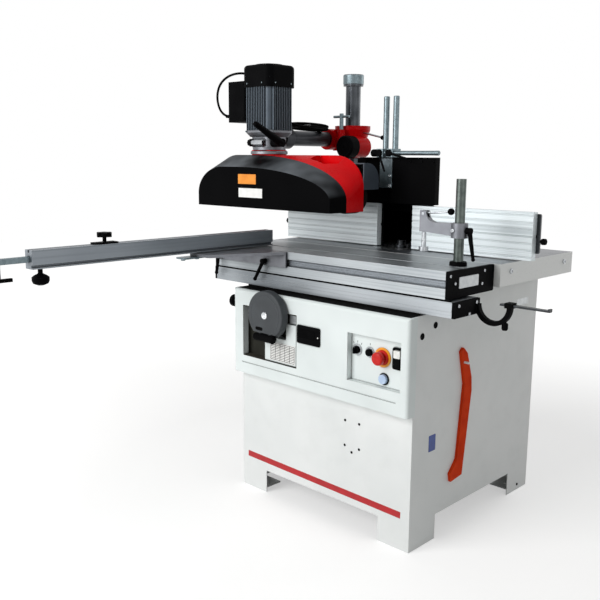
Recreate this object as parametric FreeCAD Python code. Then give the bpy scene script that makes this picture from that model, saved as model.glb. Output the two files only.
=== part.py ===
import FreeCAD, Part
import math
import os
from FreeCAD import Vector

# Spindle moulder with a sliding carriage and a power feeder.
# Millimetres, +Z up, X to the right, Y to the back.
# The origin is on the floor, in the middle of the cabinet's four anchor holes.

os.makedirs("parts", exist_ok=True)

axis_x = Vector(1, 0, 0)
axis_y = Vector(0, 1, 0)
axis_z = Vector(0, 0, 1)

# Fits
run_fit = 0.05
seat_gap = 0.3

# Cabinet
table_height = 900.0
cabinet_width = 770.0
cabinet_depth = 746.0
sheet = 3.0
skirt_height = 84.0
foot_front = 125.0
foot_side = 141.0
foot_plate = 5.0
foot_plate_reach = 95.0
anchor_radius = 7.0
anchor_inset = 55.0
shelf_drop = 143.0
stick_peg_radius = 4.0
stick_peg_length = 27.0

# Table and its insert rings
table_length = 1000.0
table_depth = 490.0
table_front_y = -100.0
table_thick = 72.0
table_plate = 14.0
table_rim = 18.0
table_rib = 16.0
table_opening_radius = 100.0
ring_count = 3
ring_land = 20.0
ring_step = 8.0
ring_thick = 10.0

# Spindle and its drive
spindle_y = 60.0
arbor_radius = 15.0
arbor_above = 125.0
spindle_down = 100.0
spindle_radius = 22.0
spacer_radius = 25.0
spacer_count = 6
spacer_height = 15.0
nut_height = 18.0
quill_radius = 55.0
quill_length = 210.0
quill_top_drop = 75.0
guide_wall = 20.0
guide_length = 150.0
guide_flange = 12.0
guide_rib_x = 195.0
motor_offset_y = 170.0
motor_plate = 16.0
drive_motor_radius = 78.0
drive_motor_length = 210.0
spindle_pulley_radius = 44.0
motor_pulley_radius = 60.0
pulley_height = 46.0
pulley_drop = 20.0
belt_thick = 5.0
belt_width = 30.0
screw_radius = 10.0
screw_below = 130.0
bevel_far = 30.0
bevel_near = 15.0

# Front fascia with the handwheel well and the control pocket
fascia_overhang = 7.0
fascia_height = 307.0
fascia_depth = 38.0
fascia_wall = 4.0
fascia_round = 12.0
well_inset = 178.0
well_drop = 149.0
well_width = 268.0
well_height = 184.0
well_depth = 34.0
well_wall = 3.0
pocket_inset = 128.0
pocket_drop = 155.0
pocket_width = 210.0
pocket_height = 155.0
pocket_depth = 22.0
groove_rise = 39.0
groove_inset = 45.0
groove_height = 4.0
groove_deep = 2.0

# Handwheel
wheel_drop = 70.0
wheel_shift = 16.0
wheel_radius = 85.0
wheel_thick = 32.0
wheel_rim = 16.0
wheel_web = 12.0
wheel_hub_radius = 26.0
wheel_gap = 5.0
wheel_shaft_radius = 10.0
grip_radius = 14.0
grip_length = 80.0
grip_drop = 78.0
grip_pin_radius = 4.0
lock_knob_radius = 22.0
lock_knob_length = 15.0
lock_knob_drop = 50.0

# Controls in the pocket
button_radius = 11.0
button_proud = 12.0
button_tail = 3.0
stop_cap_radius = 21.0
stop_cap_thick = 15.0
stop_cap_lift = 20.0
key_size = 24.0
key_pitch = 28.0
selector_shift = -81.0
jog_shift = -30.0
emergency_shift = 21.0
keys_shift = 81.0
upper_row_rise = 22.0
emergency_rise = 15.0
reset_shift = 28.0
reset_drop = 52.0
reset_radius = 15.0

# Push stick on the right side
stick_thick = 10.0
stick_drop = 278.0
stick_length = 445.0
stick_y = -112.0
stick_width = 42.0
stick_bend = 40.0
stick_peg_drop = 50.0

# Carriage and its rail
rail_left = -553.0
rail_length = 1047.0
rail_front_y = -353.0
rail_depth = 135.0
rail_low_drop = 135.0
rail_height = 47.0
rail_wall = 6.0
end_plate = 10.0
carriage_length = 1019.0
carriage_left = -549.0
carriage_front_y = -354.0
carriage_depth = 250.0
carriage_height = 82.0
carriage_wall = 6.0
chamber_count = 3
slot_y = -250.0
slot_mouth = 12.0
slot_lip = 7.0
slot_wide = 24.0
slot_deep = 16.0
front_slot_rise = 31.0
front_slot_height = 25.0
front_slot_deep = 9.0
runner_width = 10.0
cap_round = 5.0
right_lever_x = -277.0
right_lever_lean = -36.0
left_lever_x = -520.0
left_lever_lean = -6.0
carriage_lever_drop = 40.0
carriage_lever_reach = 66.0
carriage_lever_out = 16.0
carriage_hub_radius = 9.0
carriage_hub_length = 18.0
carriage_tip_radius = 7.0
stop_arm_radius = 53.0
stop_arm_band = 14.0
stop_arm_width = 16.0
stop_arm_y = -228.0
stop_bar_length = 155.0
stop_bar_thick = 6.0
stop_bar_tip = 4.0

# Outrigger and crosscut fence
outrigger_reach = 258.0
outrigger_thick = 10.0
outrigger_tip = 98.0
outrigger_right = -176.0
outrigger_left = -545.0
outrigger_flange = 8.0
outrigger_drop = 55.0
fence_x = -365.0
fence_thick = 40.0
fence_height = 55.0
fence_lift = 3.0
fence_inner_y = -260.0
fence_length = 938.0
fence_pivot_y = -430.0
fence_pivot_radius = 8.0
fence_washer_radius = 18.0
fence_groove = 8.0
extension_width = 14.0
extension_height = 17.0
extension_out = 130.0
extension_in = 210.0
fence_stop_y = -951.0
fence_stop_length = 78.0
fence_stop_width = 32.0
fence_stop_thick = 5.0
fence_stop_tongue = 40.0
stop_stem_radius = 6.0
star_knob_radius = 23.0
star_knob_rise = 20.0
star_knob_height = 14.0
star_knob_lobes = 6
flip_block = 30.0
flip_pin_radius = 6.5
flip_cap = 4.0
flip_wall = 8.0
flip_plate = 10.0
flip_drop = 40.0
flip_finger = 34.0

# Hold-down clamp on the carriage
clamp_x = 423.0
clamp_y = -219.0
clamp_post_radius = 15.0
clamp_post_height = 260.0
clamp_flange_radius = 24.0
clamp_flange = 12.0
clamp_boss_radius = 25.0
clamp_boss_height = 45.0
clamp_boss_lift = 84.0
clamp_reach = 128.0
clamp_arm_thick = 22.0
clamp_web = 38.0
clamp_head_rise = 40.0
press_rod_radius = 7.0
press_pad_radius = 15.0
press_pad_thick = 14.0
press_pad_lift = 34.0
clamp_handle_length = 96.0
clamp_lever_length = 84.0
clamp_ball_radius = 10.0

# Spindle fence and hood
plate_front_y = 14.0
plate_thick = 26.0
plate_length = 462.0
plate_height = 153.0
plate_lift = 3.0
plate_gap = 156.0
plate_rib_count = 7
plate_rib_deep = 1.5
plate_rib_height = 5.0
hood_width = 333.0
hood_back_y = 230.0
hood_height = 322.0
hood_low_height = 128.0
chamber_depth = 80.0
chamber_right = 92.0
hood_sheet = 3.0
hood_mouth = 150.0
guard_left = -20.0
guard_drop = 162.0
guard_front_y = 20.0
bracket_width = 130.0
bracket_thick = 12.0
bracket_depth = 116.0
bracket_height = 140.0
plate_key = 10.0
spigot_radius = 60.0
spigot_wall = 3.0
spigot_length = 60.0
spigot_rise = 65.0
post_radius = 10.75
post_height = 211.0
post_left_x = -57.0
post_pitch = 43.0
post_y = 27.0
post_block = 30.0
post_plate_height = 105.0
cross_rod_radius = 8.0
cross_rod_length = 278.0
cross_rod_y = 4.0
cross_rod_right = 178.0

# Feeder stand
column_x = -402.0
column_y = 247.0
column_radius = 30.0
column_height = 648.0
column_foot = 150.0
column_foot_thick = 20.0
collar_radius = 40.0
collar_height = 45.0
head_rise = 318.0
head_height = 128.0
head_radius = 50.0
head_flare = 22.0
head_flare_height = 55.0
head_disc = 16.0
arm_x = -470.0
arm_rise = 393.0
arm_radius = 29.0
arm_back_y = 335.0
sleeve_radius = 42.0
sleeve_front_y = 165.0
sleeve_length = 155.0
gear_boss_x = -345.0
gear_boss_radius = 42.0
gear_boss_front_y = 140.0
gear_boss_rise = 362.0
crank_x = -385.0
crank_y = 158.0
crank_radius = 8.0
crank_boss_radius = 15.0
crank_boss_rise = 430.0
crank_rise = 62.0
crank_sink = 20.0
crank_bar = 80.0
crank_bar_radius = 5.0

# Feeder motor and gearbox
feed_axis_x = -460.0
feed_axis_y = -168.0
gearbox_size = 106.0
gearbox_flange = 138.0
gearbox_taper = 24.0
gearbox_neck = 24.0
gearbox_rise = 357.0
gearbox_height = 61.0
gearbox_round = 26.0
turntable_radius = 66.0
turntable_ring = 11.0
motor_size = 145.0
motor_core = 128.0
motor_fin = 3.2
motor_fin_pitch = 9.0
motor_fin_count = 11
motor_fins_height = 155.0
cowl_height = 80.0
cowl_round = 30.0
terminal_depth = 98.0
terminal_width = 110.0
terminal_height = 150.0
terminal_low = 32.0
gland_radius = 9.0
gland_length = 16.0
gland_y = -195.0
gland_rise = 25.0
lever_hub_radius = 15.0
lever_hub_length = 52.0
lever_tip_radius = 10.0
lever_y = -198.0
lever_rise = 372.0
lever_reach = 138.0
lever_angle = 27.0

# Feeder body
feeder_right = -32.0
feeder_length = 706.0
feeder_rise = 135.0
feeder_height = 193.0
feeder_front_y = -293.0
front_cover_depth = 80.0
front_cover_bevel = 44.0
front_cover_inset = 6.0
body_depth = 90.0
body_corner_run = 130.0
body_corner_drop = 110.0
cover_wall = 4.0
left_shoulder = 46.0
right_shoulder = 40.0
left_round = 150.0
right_round = 462.0
guard_depth = 83.0
guard_rise = 167.0
guard_low = 75.0
guard_wall = 4.0
feed_wheel_radius = 62.0
feed_wheel_width = 60.0
feed_wheel_drop = 14.0
feed_wheel_count = 4
feed_wheel_pitch = 170.0
feed_wheel_rubber = 12.0
feed_axle_radius = 10.0
feed_wheel_gap = 8.0
handle_length = 110.0
handle_width = 56.0
handle_deep = 30.0
handle_right = 90.0

# Lead of the feeder
cord_radius = 4.5
coil_pitch = 9.6
coil_radius = 80.0
coil_half_turns = 4
coil_tilt = -5.0
coil_x = -462.0
coil_y = 42.0
plug_radius = 17.0
plug_length = 40.0
plug_sleeve = 28.0

# Places worked out from the sizes above
half_width = cabinet_width / 2
half_depth = cabinet_depth / 2
shelf_z = table_height - shelf_drop
table_under = table_height - table_thick
fascia_low = shelf_z - fascia_height
well_x = -half_width + well_inset
well_z = shelf_z - well_drop
pocket_x = half_width - pocket_inset
pocket_z = shelf_z - pocket_drop
groove_z = fascia_low + groove_rise
wheel_x = well_x + wheel_shift
wheel_z = shelf_z - wheel_drop
lock_knob_z = shelf_z - lock_knob_drop
selector_x = pocket_x + selector_shift
jog_x = pocket_x + jog_shift
emergency_x = pocket_x + emergency_shift
keys_x = pocket_x + keys_shift
reset_x = pocket_x + reset_shift
upper_row_z = pocket_z + upper_row_rise
emergency_z = pocket_z + emergency_rise
reset_z = pocket_z - reset_drop
stick_top_z = table_height - stick_drop
hood_top_z = table_height + hood_height
spigot_z = table_height + spigot_rise
column_top_z = table_height + column_height
head_low_z = table_height + head_rise
arm_z = table_height + arm_rise
gear_boss_z = table_height + gear_boss_rise
crank_boss_z = table_height + crank_boss_rise
gearbox_low_z = table_height + gearbox_rise
lever_z = table_height + lever_rise
feeder_low_z = table_height + feeder_rise
step_y = table_front_y + 2
fascia_front_y = -half_depth - fascia_depth
pocket_floor_y = fascia_front_y + pocket_depth
wheel_back_y = fascia_front_y - wheel_gap
wheel_front_y = wheel_back_y - wheel_thick
rail_low_z = table_height - rail_low_drop
rail_top_z = rail_low_z + rail_height
rail_right = rail_left + rail_length
carriage_right = carriage_left + carriage_length
carriage_low_z = table_height - carriage_height
carriage_back_y = carriage_front_y + carriage_depth
fence_low_z = table_height + fence_lift
fence_top_z = fence_low_z + fence_height
fence_outer_y = fence_inner_y - fence_length
extension_z = fence_low_z + fence_height * 0.36
clamp_boss_z = table_height + clamp_boss_lift
clamp_head_x = clamp_x - clamp_reach
clamp_head_z = clamp_boss_z + clamp_boss_height
plate_low_z = table_height + plate_lift
plate_back_y = plate_front_y + plate_thick
hood_front_y = plate_back_y + 4
post_block_z = hood_top_z + post_block / 2
flange_z = table_height - spindle_down
quill_top_z = flange_z - quill_top_drop
quill_low_z = quill_top_z - quill_length
pulley_top_z = quill_low_z - pulley_drop
motor_y = spindle_y + motor_offset_y
gearbox_top_z = gearbox_low_z + gearbox_height
cowl_low_z = gearbox_top_z + motor_fins_height
turntable_top_z = gearbox_low_z - turntable_ring
gearbox_back_y = feed_axis_y + gearbox_flange / 2
body_y = feeder_front_y + front_cover_depth
body_back_y = body_y + body_depth
feeder_left = feeder_right - feeder_length
feeder_top_z = feeder_low_z + feeder_height
feed_wheel_z = feeder_low_z - feed_wheel_drop + feed_wheel_radius
feed_wheel_y = body_back_y + feed_wheel_gap
terminal_left = feed_axis_x - motor_size / 2 - terminal_depth
terminal_low_z = gearbox_top_z + terminal_low
gland_z = terminal_low_z + gland_rise

nodes = {}


def block(x0, x1, y0, y1, z0, z1):
    return Part.makeBox(x1 - x0, y1 - y0, z1 - z0, Vector(x0, y0, z0))


def rod(start, axis, radius, length):
    return Part.makeCylinder(radius, length, start, axis)


def bar(start, end, radius, end_radius=None):
    way = end - start
    if end_radius is None:
        return Part.makeCylinder(radius, way.Length, start, way)
    return Part.makeCone(radius, end_radius, way.Length, start, way)


def prism(points, travel):
    return Part.Face(Part.makePolygon(points + points[:1])).extrude(travel)


def round_along(shape, axis, radius):
    picked = []
    for edge in shape.Edges:
        if edge.Curve.TypeId == "Part::GeomLine" and abs(edge.tangentAt(edge.FirstParameter).dot(axis)) > 0.99:
            picked.append(edge)
    return shape.makeFillet(radius, picked)


def joined(shapes):
    return shapes[0].multiFuse(shapes[1:]).removeSplitter()


def keep(name, *shapes):
    nodes[name] = shapes[0] if len(shapes) == 1 else Part.makeCompound(list(shapes))


# Cabinet, fascia and handwheel well

def cabinet_outline(inset, low, high, x, length):
    front = -half_depth + inset
    back = half_depth - inset
    step = step_y + inset
    shelf = shelf_z - inset
    points = [(front, low), (back, low), (back, high), (step, high), (step, shelf), (front, shelf)]
    return prism([Vector(x, y, z) for y, z in points], Vector(length, 0, 0))


def cabinet_body():
    shell = cabinet_outline(0, 0, table_under, -half_width, cabinet_width)
    inside = cabinet_outline(sheet, -1, table_under + 1, -half_width + sheet, cabinet_width - 2 * sheet)
    shell = shell.cut(inside)
    front_gap = half_width - foot_front
    side_gap = half_depth - foot_side
    shell = shell.cut(block(-front_gap, front_gap, -half_depth, half_depth, 0, skirt_height))
    shell = shell.cut(block(-half_width, half_width, -side_gap, side_gap, 0, skirt_height))
    plates = []
    for sx in (-1, 1):
        for sy in (-1, 1):
            corner_x = sx * (half_width - sheet)
            corner_y = sy * (half_depth - sheet)
            xs = sorted((corner_x, corner_x - sx * foot_plate_reach))
            ys = sorted((corner_y, corner_y - sy * foot_plate_reach))
            plate = block(xs[0], xs[1], ys[0], ys[1], 0, foot_plate)
            hole_x = sx * (half_width - anchor_inset)
            hole_y = sy * (half_depth - anchor_inset)
            plates.append(plate.cut(rod(Vector(hole_x, hole_y, 0), axis_z, anchor_radius, foot_plate)))
    peg = rod(Vector(half_width, stick_y, stick_top_z - stick_peg_drop), axis_x, stick_peg_radius, stick_peg_length)
    body = joined([shell] + plates + [peg])
    shaft_hole = rod(Vector(wheel_x, -half_depth, wheel_z), axis_y, wheel_shaft_radius + 2, sheet)
    keep("cabinet_body", body.cut(shaft_hole))


def control_places():
    round_ones = [(selector_x, upper_row_z, button_radius), (jog_x, upper_row_z, button_radius),
                  (emergency_x, emergency_z, button_radius), (reset_x, reset_z, reset_radius)]
    return round_ones


def well_frame(clearance):
    return (well_x - well_width / 2 + clearance, well_x + well_width / 2 - clearance,
            well_z - well_height / 2 + clearance, well_z + well_height / 2 - clearance)


def control_fascia():
    side = half_width + fascia_overhang
    back = -half_depth
    outer = block(-side, side, fascia_front_y, back, fascia_low, shelf_z)
    front_edges = []
    for edge in outer.Edges:
        middle = edge.CenterOfMass
        if abs(middle.y - fascia_front_y) < 0.01 and abs(middle.z - fascia_low) > 0.01:
            front_edges.append(edge)
    outer = outer.makeFillet(fascia_round, front_edges)
    hollow = block(-side + fascia_wall, side - fascia_wall, fascia_front_y + fascia_wall, back,
                   fascia_low + fascia_wall, shelf_z - fascia_wall)
    shell = outer.cut(hollow)
    x0 = pocket_x - pocket_width / 2
    z0 = pocket_z - pocket_height / 2
    pocket = block(x0, x0 + pocket_width, fascia_front_y, pocket_floor_y, z0, z0 + pocket_height)
    tub = block(x0 - fascia_wall, x0 + pocket_width + fascia_wall, fascia_front_y + fascia_wall / 2,
                pocket_floor_y + fascia_wall, z0 - fascia_wall, z0 + pocket_height + fascia_wall)
    shell = shell.fuse(tub).cut(pocket)
    left, right, low, high = well_frame(0)
    shell = shell.cut(block(left, right, fascia_front_y, fascia_front_y + fascia_wall, low, high))
    line = block(-side + groove_inset, side - groove_inset, fascia_front_y, fascia_front_y + groove_deep,
                 groove_z, groove_z + groove_height)
    shell = shell.cut(line)
    for x, z, radius in control_places():
        shell = shell.cut(rod(Vector(x, pocket_floor_y, z), axis_y, radius + seat_gap, fascia_wall))
    half_key = key_size / 2 + seat_gap
    for side_z in (-1, 1):
        z = upper_row_z + side_z * key_pitch / 2
        shell = shell.cut(block(keys_x - half_key, keys_x + half_key, pocket_floor_y,
                                pocket_floor_y + fascia_wall, z - half_key, z + half_key))
    shaft_way = rod(Vector(-side, fascia_front_y + fascia_depth / 3, lock_knob_z), axis_x,
                    wheel_shaft_radius / 2 + run_fit, fascia_wall)
    keep("control_fascia", shell.cut(shaft_way).removeSplitter())


def handwheel_well():
    left, right, low, high = well_frame(seat_gap)
    front = fascia_front_y + 1
    tray = block(left, right, front, front + well_depth, low, high)
    hollow = block(left + well_wall, right - well_wall, front, front + well_depth - well_wall,
                   low + well_wall, high - well_wall)
    bush = rod(Vector(wheel_x, front + well_depth - 3 * well_wall, wheel_z), axis_y, wheel_shaft_radius + 5,
               3 * well_wall)
    tray = joined([tray.cut(hollow), bush])
    bore = rod(Vector(wheel_x, front, wheel_z), axis_y, wheel_shaft_radius + run_fit, well_depth)
    keep("handwheel_well", tray.cut(bore))


# Table and rings

def table():
    half = table_length / 2
    back = table_front_y + table_depth
    plate_z = table_height - table_plate
    body = block(-half, half, table_front_y, back, table_under, table_height)
    body = body.cut(block(-half + table_rim, half - table_rim, table_front_y + table_rim, back - table_rim,
                          table_under, plate_z))
    ribs = []
    for x in (half_width - table_rib / 2, guide_rib_x):
        for side in (-1, 1):
            ribs.append(block(side * x - table_rib / 2, side * x + table_rib / 2, table_front_y + table_rim / 2,
                              back - table_rim / 2, table_under, plate_z + 1))
    body = joined([body] + ribs)
    centre = Vector(0, spindle_y, plate_z)
    body = body.cut(rod(centre, axis_z, table_opening_radius - ring_step, table_plate))
    body = body.cut(rod(centre + axis_z * (table_plate - ring_thick), axis_z, table_opening_radius, ring_thick))
    keep("table", body)


def table_rings():
    rings = []
    low = Vector(0, spindle_y, table_height - ring_thick)
    upper = low + axis_z * (ring_thick / 2)
    for index in range(ring_count):
        radius = table_opening_radius - index * ring_land
        inner = radius - ring_land
        if index == 0:
            ring = rod(low, axis_z, radius - seat_gap, ring_thick)
        else:
            ring = rod(upper, axis_z, radius - seat_gap, ring_thick / 2)
            ring = ring.fuse(rod(low, axis_z, radius - ring_step - seat_gap, ring_thick / 2))
        ring = ring.cut(rod(low, axis_z, inner - ring_step, ring_thick))
        if index < ring_count - 1:
            ring = ring.cut(rod(upper, axis_z, inner, ring_thick / 2))
        rings.append(ring)
    keep("table_rings", *rings)


# Spindle drive inside the cabinet

def lift_guide():
    centre = Vector(0, spindle_y, table_under - guide_length)
    outer = quill_radius + guide_wall
    sleeve = rod(centre, axis_z, outer, guide_length)
    flange = block(-guide_rib_x - table_rib, guide_rib_x + table_rib, spindle_y - outer, spindle_y + outer,
                   table_under - guide_flange, table_under)
    screw_arm = block(wheel_x - 3 * screw_radius, 0, spindle_y - outer / 2, spindle_y + outer / 2,
                      table_under - guide_flange, table_under)
    body = joined([sleeve, flange, screw_arm])
    body = body.cut(rod(centre, axis_z, quill_radius + run_fit, guide_length))
    screw_bore = rod(Vector(wheel_x, spindle_y, table_under - guide_flange), axis_z, screw_radius + run_fit,
                     guide_flange)
    keep("lift_guide", body.cut(screw_bore))


def spindle_quill():
    low = Vector(0, spindle_y, quill_low_z)
    tube = rod(low, axis_z, quill_radius, quill_length)
    motor_arm = block(-drive_motor_radius, drive_motor_radius, spindle_y, motor_y, quill_low_z,
                      quill_low_z + motor_plate)
    motor_pad = rod(Vector(0, motor_y, quill_low_z), axis_z, drive_motor_radius, motor_plate)
    nut_arm = block(wheel_x - 2 * screw_radius, 0, spindle_y - 2 * screw_radius, spindle_y + 2 * screw_radius,
                    quill_low_z, quill_low_z + motor_plate)
    body = joined([tube, motor_arm, motor_pad, nut_arm])
    body = body.cut(rod(low, axis_z, spindle_radius + run_fit, quill_length))
    body = body.cut(rod(Vector(0, motor_y, quill_low_z), axis_z, arbor_radius + 5, motor_plate))
    nut = rod(Vector(wheel_x, spindle_y, quill_low_z), axis_z, screw_radius + run_fit, motor_plate)
    keep("spindle_quill", body.cut(nut))


def main_motor():
    low_z = quill_low_z + motor_plate
    shell = rod(Vector(0, motor_y, low_z), axis_z, drive_motor_radius, drive_motor_length)
    bore = rod(Vector(0, motor_y, low_z), axis_z, arbor_radius + run_fit, drive_motor_length / 2)
    keep("main_motor", shell.cut(bore))


def spindle_shaft():
    centre = Vector(0, spindle_y, 0)
    low_z = pulley_top_z - pulley_height
    pulley = rod(centre + axis_z * low_z, axis_z, spindle_pulley_radius, pulley_height)
    shaft = rod(centre + axis_z * low_z, axis_z, spindle_radius, quill_top_z - low_z)
    shoulder = rod(centre + axis_z * quill_top_z, axis_z, spacer_radius, flange_z - quill_top_z)
    shoulder.translate(axis_z * seat_gap)
    arbor = rod(centre + axis_z * quill_top_z, axis_z, arbor_radius, flange_z + arbor_above - quill_top_z)
    spindle = joined([pulley, shaft, shoulder, arbor])
    spacers = []
    base = flange_z + seat_gap
    for index in range(spacer_count):
        z = base + index * spacer_height
        ring = rod(centre + axis_z * z, axis_z, spacer_radius, spacer_height)
        spacers.append(ring.cut(rod(centre + axis_z * z, axis_z, arbor_radius, spacer_height)))
    nut_z = base + spacer_count * spacer_height
    nut = rod(centre + axis_z * nut_z, axis_z, spacer_radius - 3, nut_height)
    nut = nut.cut(rod(centre + axis_z * nut_z, axis_z, arbor_radius, nut_height))
    keep("spindle_shaft", spindle, nut, *spacers)


def motor_pulley():
    low = Vector(0, motor_y, pulley_top_z - pulley_height)
    top_z = quill_low_z + motor_plate + drive_motor_length / 2 - seat_gap
    wheel = rod(low, axis_z, motor_pulley_radius, pulley_height)
    shaft = rod(low, axis_z, arbor_radius, top_z - low.z)
    keep("motor_pulley", joined([wheel, shaft]))


def belt_loop(extra, z, height):
    r0 = spindle_pulley_radius + extra
    r1 = motor_pulley_radius + extra
    lean = math.asin((r1 - r0) / motor_offset_y)
    corners = []
    for side in (1, -1):
        way = Vector(side * math.cos(lean), -math.sin(lean), 0)
        corners.append((Vector(0, spindle_y, z) + way * r0, Vector(0, motor_y, z) + way * r1))
    near = Vector(0, spindle_y - r0, z)
    far = Vector(0, motor_y + r1, z)
    edges = [Part.Arc(corners[1][0], near, corners[0][0]).toShape(),
             Part.LineSegment(corners[0][0], corners[0][1]).toShape(),
             Part.Arc(corners[0][1], far, corners[1][1]).toShape(),
             Part.LineSegment(corners[1][1], corners[1][0]).toShape()]
    return Part.Face(Part.Wire(edges)).extrude(Vector(0, 0, height))


def drive_belt():
    z = pulley_top_z - pulley_height / 2 - belt_width / 2
    outer = belt_loop(belt_thick + seat_gap, z, belt_width)
    keep("drive_belt", outer.cut(belt_loop(seat_gap, z, belt_width)))


def bevel(apex, way):
    trim = 2 * seat_gap
    return Part.makeCone(bevel_near - trim, bevel_far - trim, bevel_far - bevel_near, apex + way * bevel_near, way)


def lift_screw():
    low_z = quill_low_z + spindle_down - screw_below
    apex = Vector(wheel_x, spindle_y, wheel_z)
    screw = rod(Vector(wheel_x, spindle_y, low_z), axis_z, screw_radius,
                table_under - seat_gap - low_z)
    keep("lift_screw", joined([screw, bevel(apex, axis_z)]))


# Handwheel and controls

def handwheel():
    hub = Vector(wheel_x, wheel_front_y, wheel_z)
    wheel = rod(hub, axis_y, wheel_radius, wheel_thick)
    wheel = round_rim(wheel)
    dish = rod(hub + axis_y * wheel_web, axis_y, wheel_radius - wheel_rim, wheel_thick - wheel_web)
    dish = dish.cut(rod(hub, axis_y, wheel_hub_radius, wheel_thick))
    wheel = wheel.cut(dish)
    x0 = wheel_x - grip_length / 2 - grip_radius
    z0 = wheel_z - grip_drop
    room = grip_radius + 2
    tray = block(x0 - 2, x0 + grip_length + 2 * grip_radius + 2, wheel_front_y, wheel_front_y + grip_radius,
                 z0 - room, z0 + room)
    floor = block(x0 - 6, x0 + grip_length + 2 * grip_radius + 6, wheel_front_y + wheel_web,
                  wheel_front_y + grip_radius + 4, z0 - room - 4, z0 + room + 4)
    floor = floor.common(rod(hub, axis_y, wheel_radius - wheel_rim / 2, wheel_thick))
    wheel = wheel.fuse(floor).cut(tray)
    apex_y = spindle_y - bevel_near
    shaft = rod(hub + axis_y * (wheel_thick - 2), axis_y, wheel_shaft_radius,
                apex_y - wheel_front_y - wheel_thick + 2)
    gear = bevel(Vector(wheel_x, spindle_y, wheel_z), axis_y * -1)
    keep("handwheel", joined([wheel, shaft, gear]))


def round_rim(wheel):
    rims = [edge for edge in wheel.Edges if edge.Curve.TypeId == "Part::GeomCircle"]
    return wheel.makeFillet(wheel_rim / 3, rims)


def handwheel_grip():
    z = wheel_z - grip_drop
    start = Vector(wheel_x - grip_length / 2, wheel_front_y, z)
    body = rod(start, axis_x, grip_radius - seat_gap, grip_length)
    body = body.fuse(Part.makeSphere(grip_radius - seat_gap, start))
    pivot = start + axis_x * grip_length
    body = body.fuse(Part.makeSphere(grip_radius - seat_gap, pivot))
    reach = grip_radius + 2 - seat_gap
    body = body.fuse(rod(pivot - axis_z * reach, axis_z, grip_pin_radius, 2 * reach))
    keep("handwheel_grip", body.removeSplitter())


def lock_knob():
    start = Vector(-half_width - fascia_overhang - seat_gap, fascia_front_y + fascia_depth / 3, lock_knob_z)
    cap = rod(start, axis_x * -1, lock_knob_radius, lock_knob_length)
    rims = [edge for edge in cap.Edges if edge.Curve.TypeId == "Part::GeomCircle"]
    cap = cap.makeFillet(3, rims)
    stem = rod(start - axis_x, axis_x, wheel_shaft_radius / 2, fascia_wall + 3)
    keep("lock_knob", joined([cap, stem]))


def push_button(name, x, z, radius, proud):
    front = Vector(x, pocket_floor_y - proud, z)
    cap = rod(front, axis_y, radius, proud + fascia_wall + button_tail)
    rims = [edge for edge in cap.Edges if abs(edge.CenterOfMass.y - front.y) < 0.01]
    keep(name, cap.makeFillet(1.5, rims))


def emergency_stop():
    front = Vector(emergency_x, pocket_floor_y - stop_cap_lift - stop_cap_thick, emergency_z)
    cap = rod(front, axis_y, stop_cap_radius, stop_cap_thick)
    rims = [edge for edge in cap.Edges if abs(edge.CenterOfMass.y - front.y) < 0.01]
    cap = cap.makeFillet(stop_cap_thick / 2, rims)
    stem = rod(front + axis_y * (stop_cap_thick - 1), axis_y, button_radius,
               stop_cap_lift + fascia_wall + button_tail + 1)
    keep("emergency_stop", joined([cap, stem]))


def key_button(name, z):
    half = key_size / 2
    keep(name, round_along(block(keys_x - half, keys_x + half, pocket_floor_y - button_proud,
                                 pocket_floor_y + fascia_wall + button_tail, z - half, z + half), axis_y, 3))


def selector_switch():
    front_y = pocket_floor_y - button_proud
    barrel = rod(Vector(selector_x, front_y, upper_row_z), axis_y, button_radius,
                 button_proud + fascia_wall + button_tail)
    grip = block(selector_x - 3, selector_x + 3, front_y - 9, front_y, upper_row_z - button_radius + 1,
                 upper_row_z + button_radius - 1)
    keep("selector_switch", joined([barrel, grip]))


def push_stick():
    x = half_width + seat_gap
    half = stick_width / 2
    top = stick_top_z
    knee = top - stick_length * 0.28
    low = top - stick_length
    points = [(stick_y - half, top - 12), (stick_y - half + 14, top), (stick_y + half - 4, top - 22),
              (stick_y + half + stick_bend - 14, knee + 16), (stick_y + half + stick_bend - 10, knee - 30),
              (stick_y + half - 8, low + 8), (stick_y - half - 30, low), (stick_y - half - 36, low + 28),
              (stick_y - half + 2, low + 70), (stick_y - half + stick_bend - 12, knee)]
    body = prism([Vector(x, y, z) for y, z in points], Vector(stick_thick, 0, 0))
    eye = rod(Vector(x, stick_y, top - stick_peg_drop), axis_x, stick_peg_radius + seat_gap, stick_thick)
    keep("push_stick", body.cut(eye))


# Carriage, rail and stop arm

def carriage_rail():
    back = rail_front_y + rail_depth
    body = block(rail_left, rail_right, rail_front_y, back, rail_low_z, rail_top_z)
    hollow = block(rail_left, rail_right, rail_front_y + 3 * rail_wall, back - rail_wall, rail_low_z + rail_wall,
                   rail_top_z - rail_wall)
    middle = (rail_low_z + rail_top_z) / 2
    groove = block(rail_left, rail_right, rail_front_y, rail_front_y + rail_wall, middle - rail_wall,
                   middle + rail_wall)
    keep("carriage_rail", body.cut(hollow).cut(groove))


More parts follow.
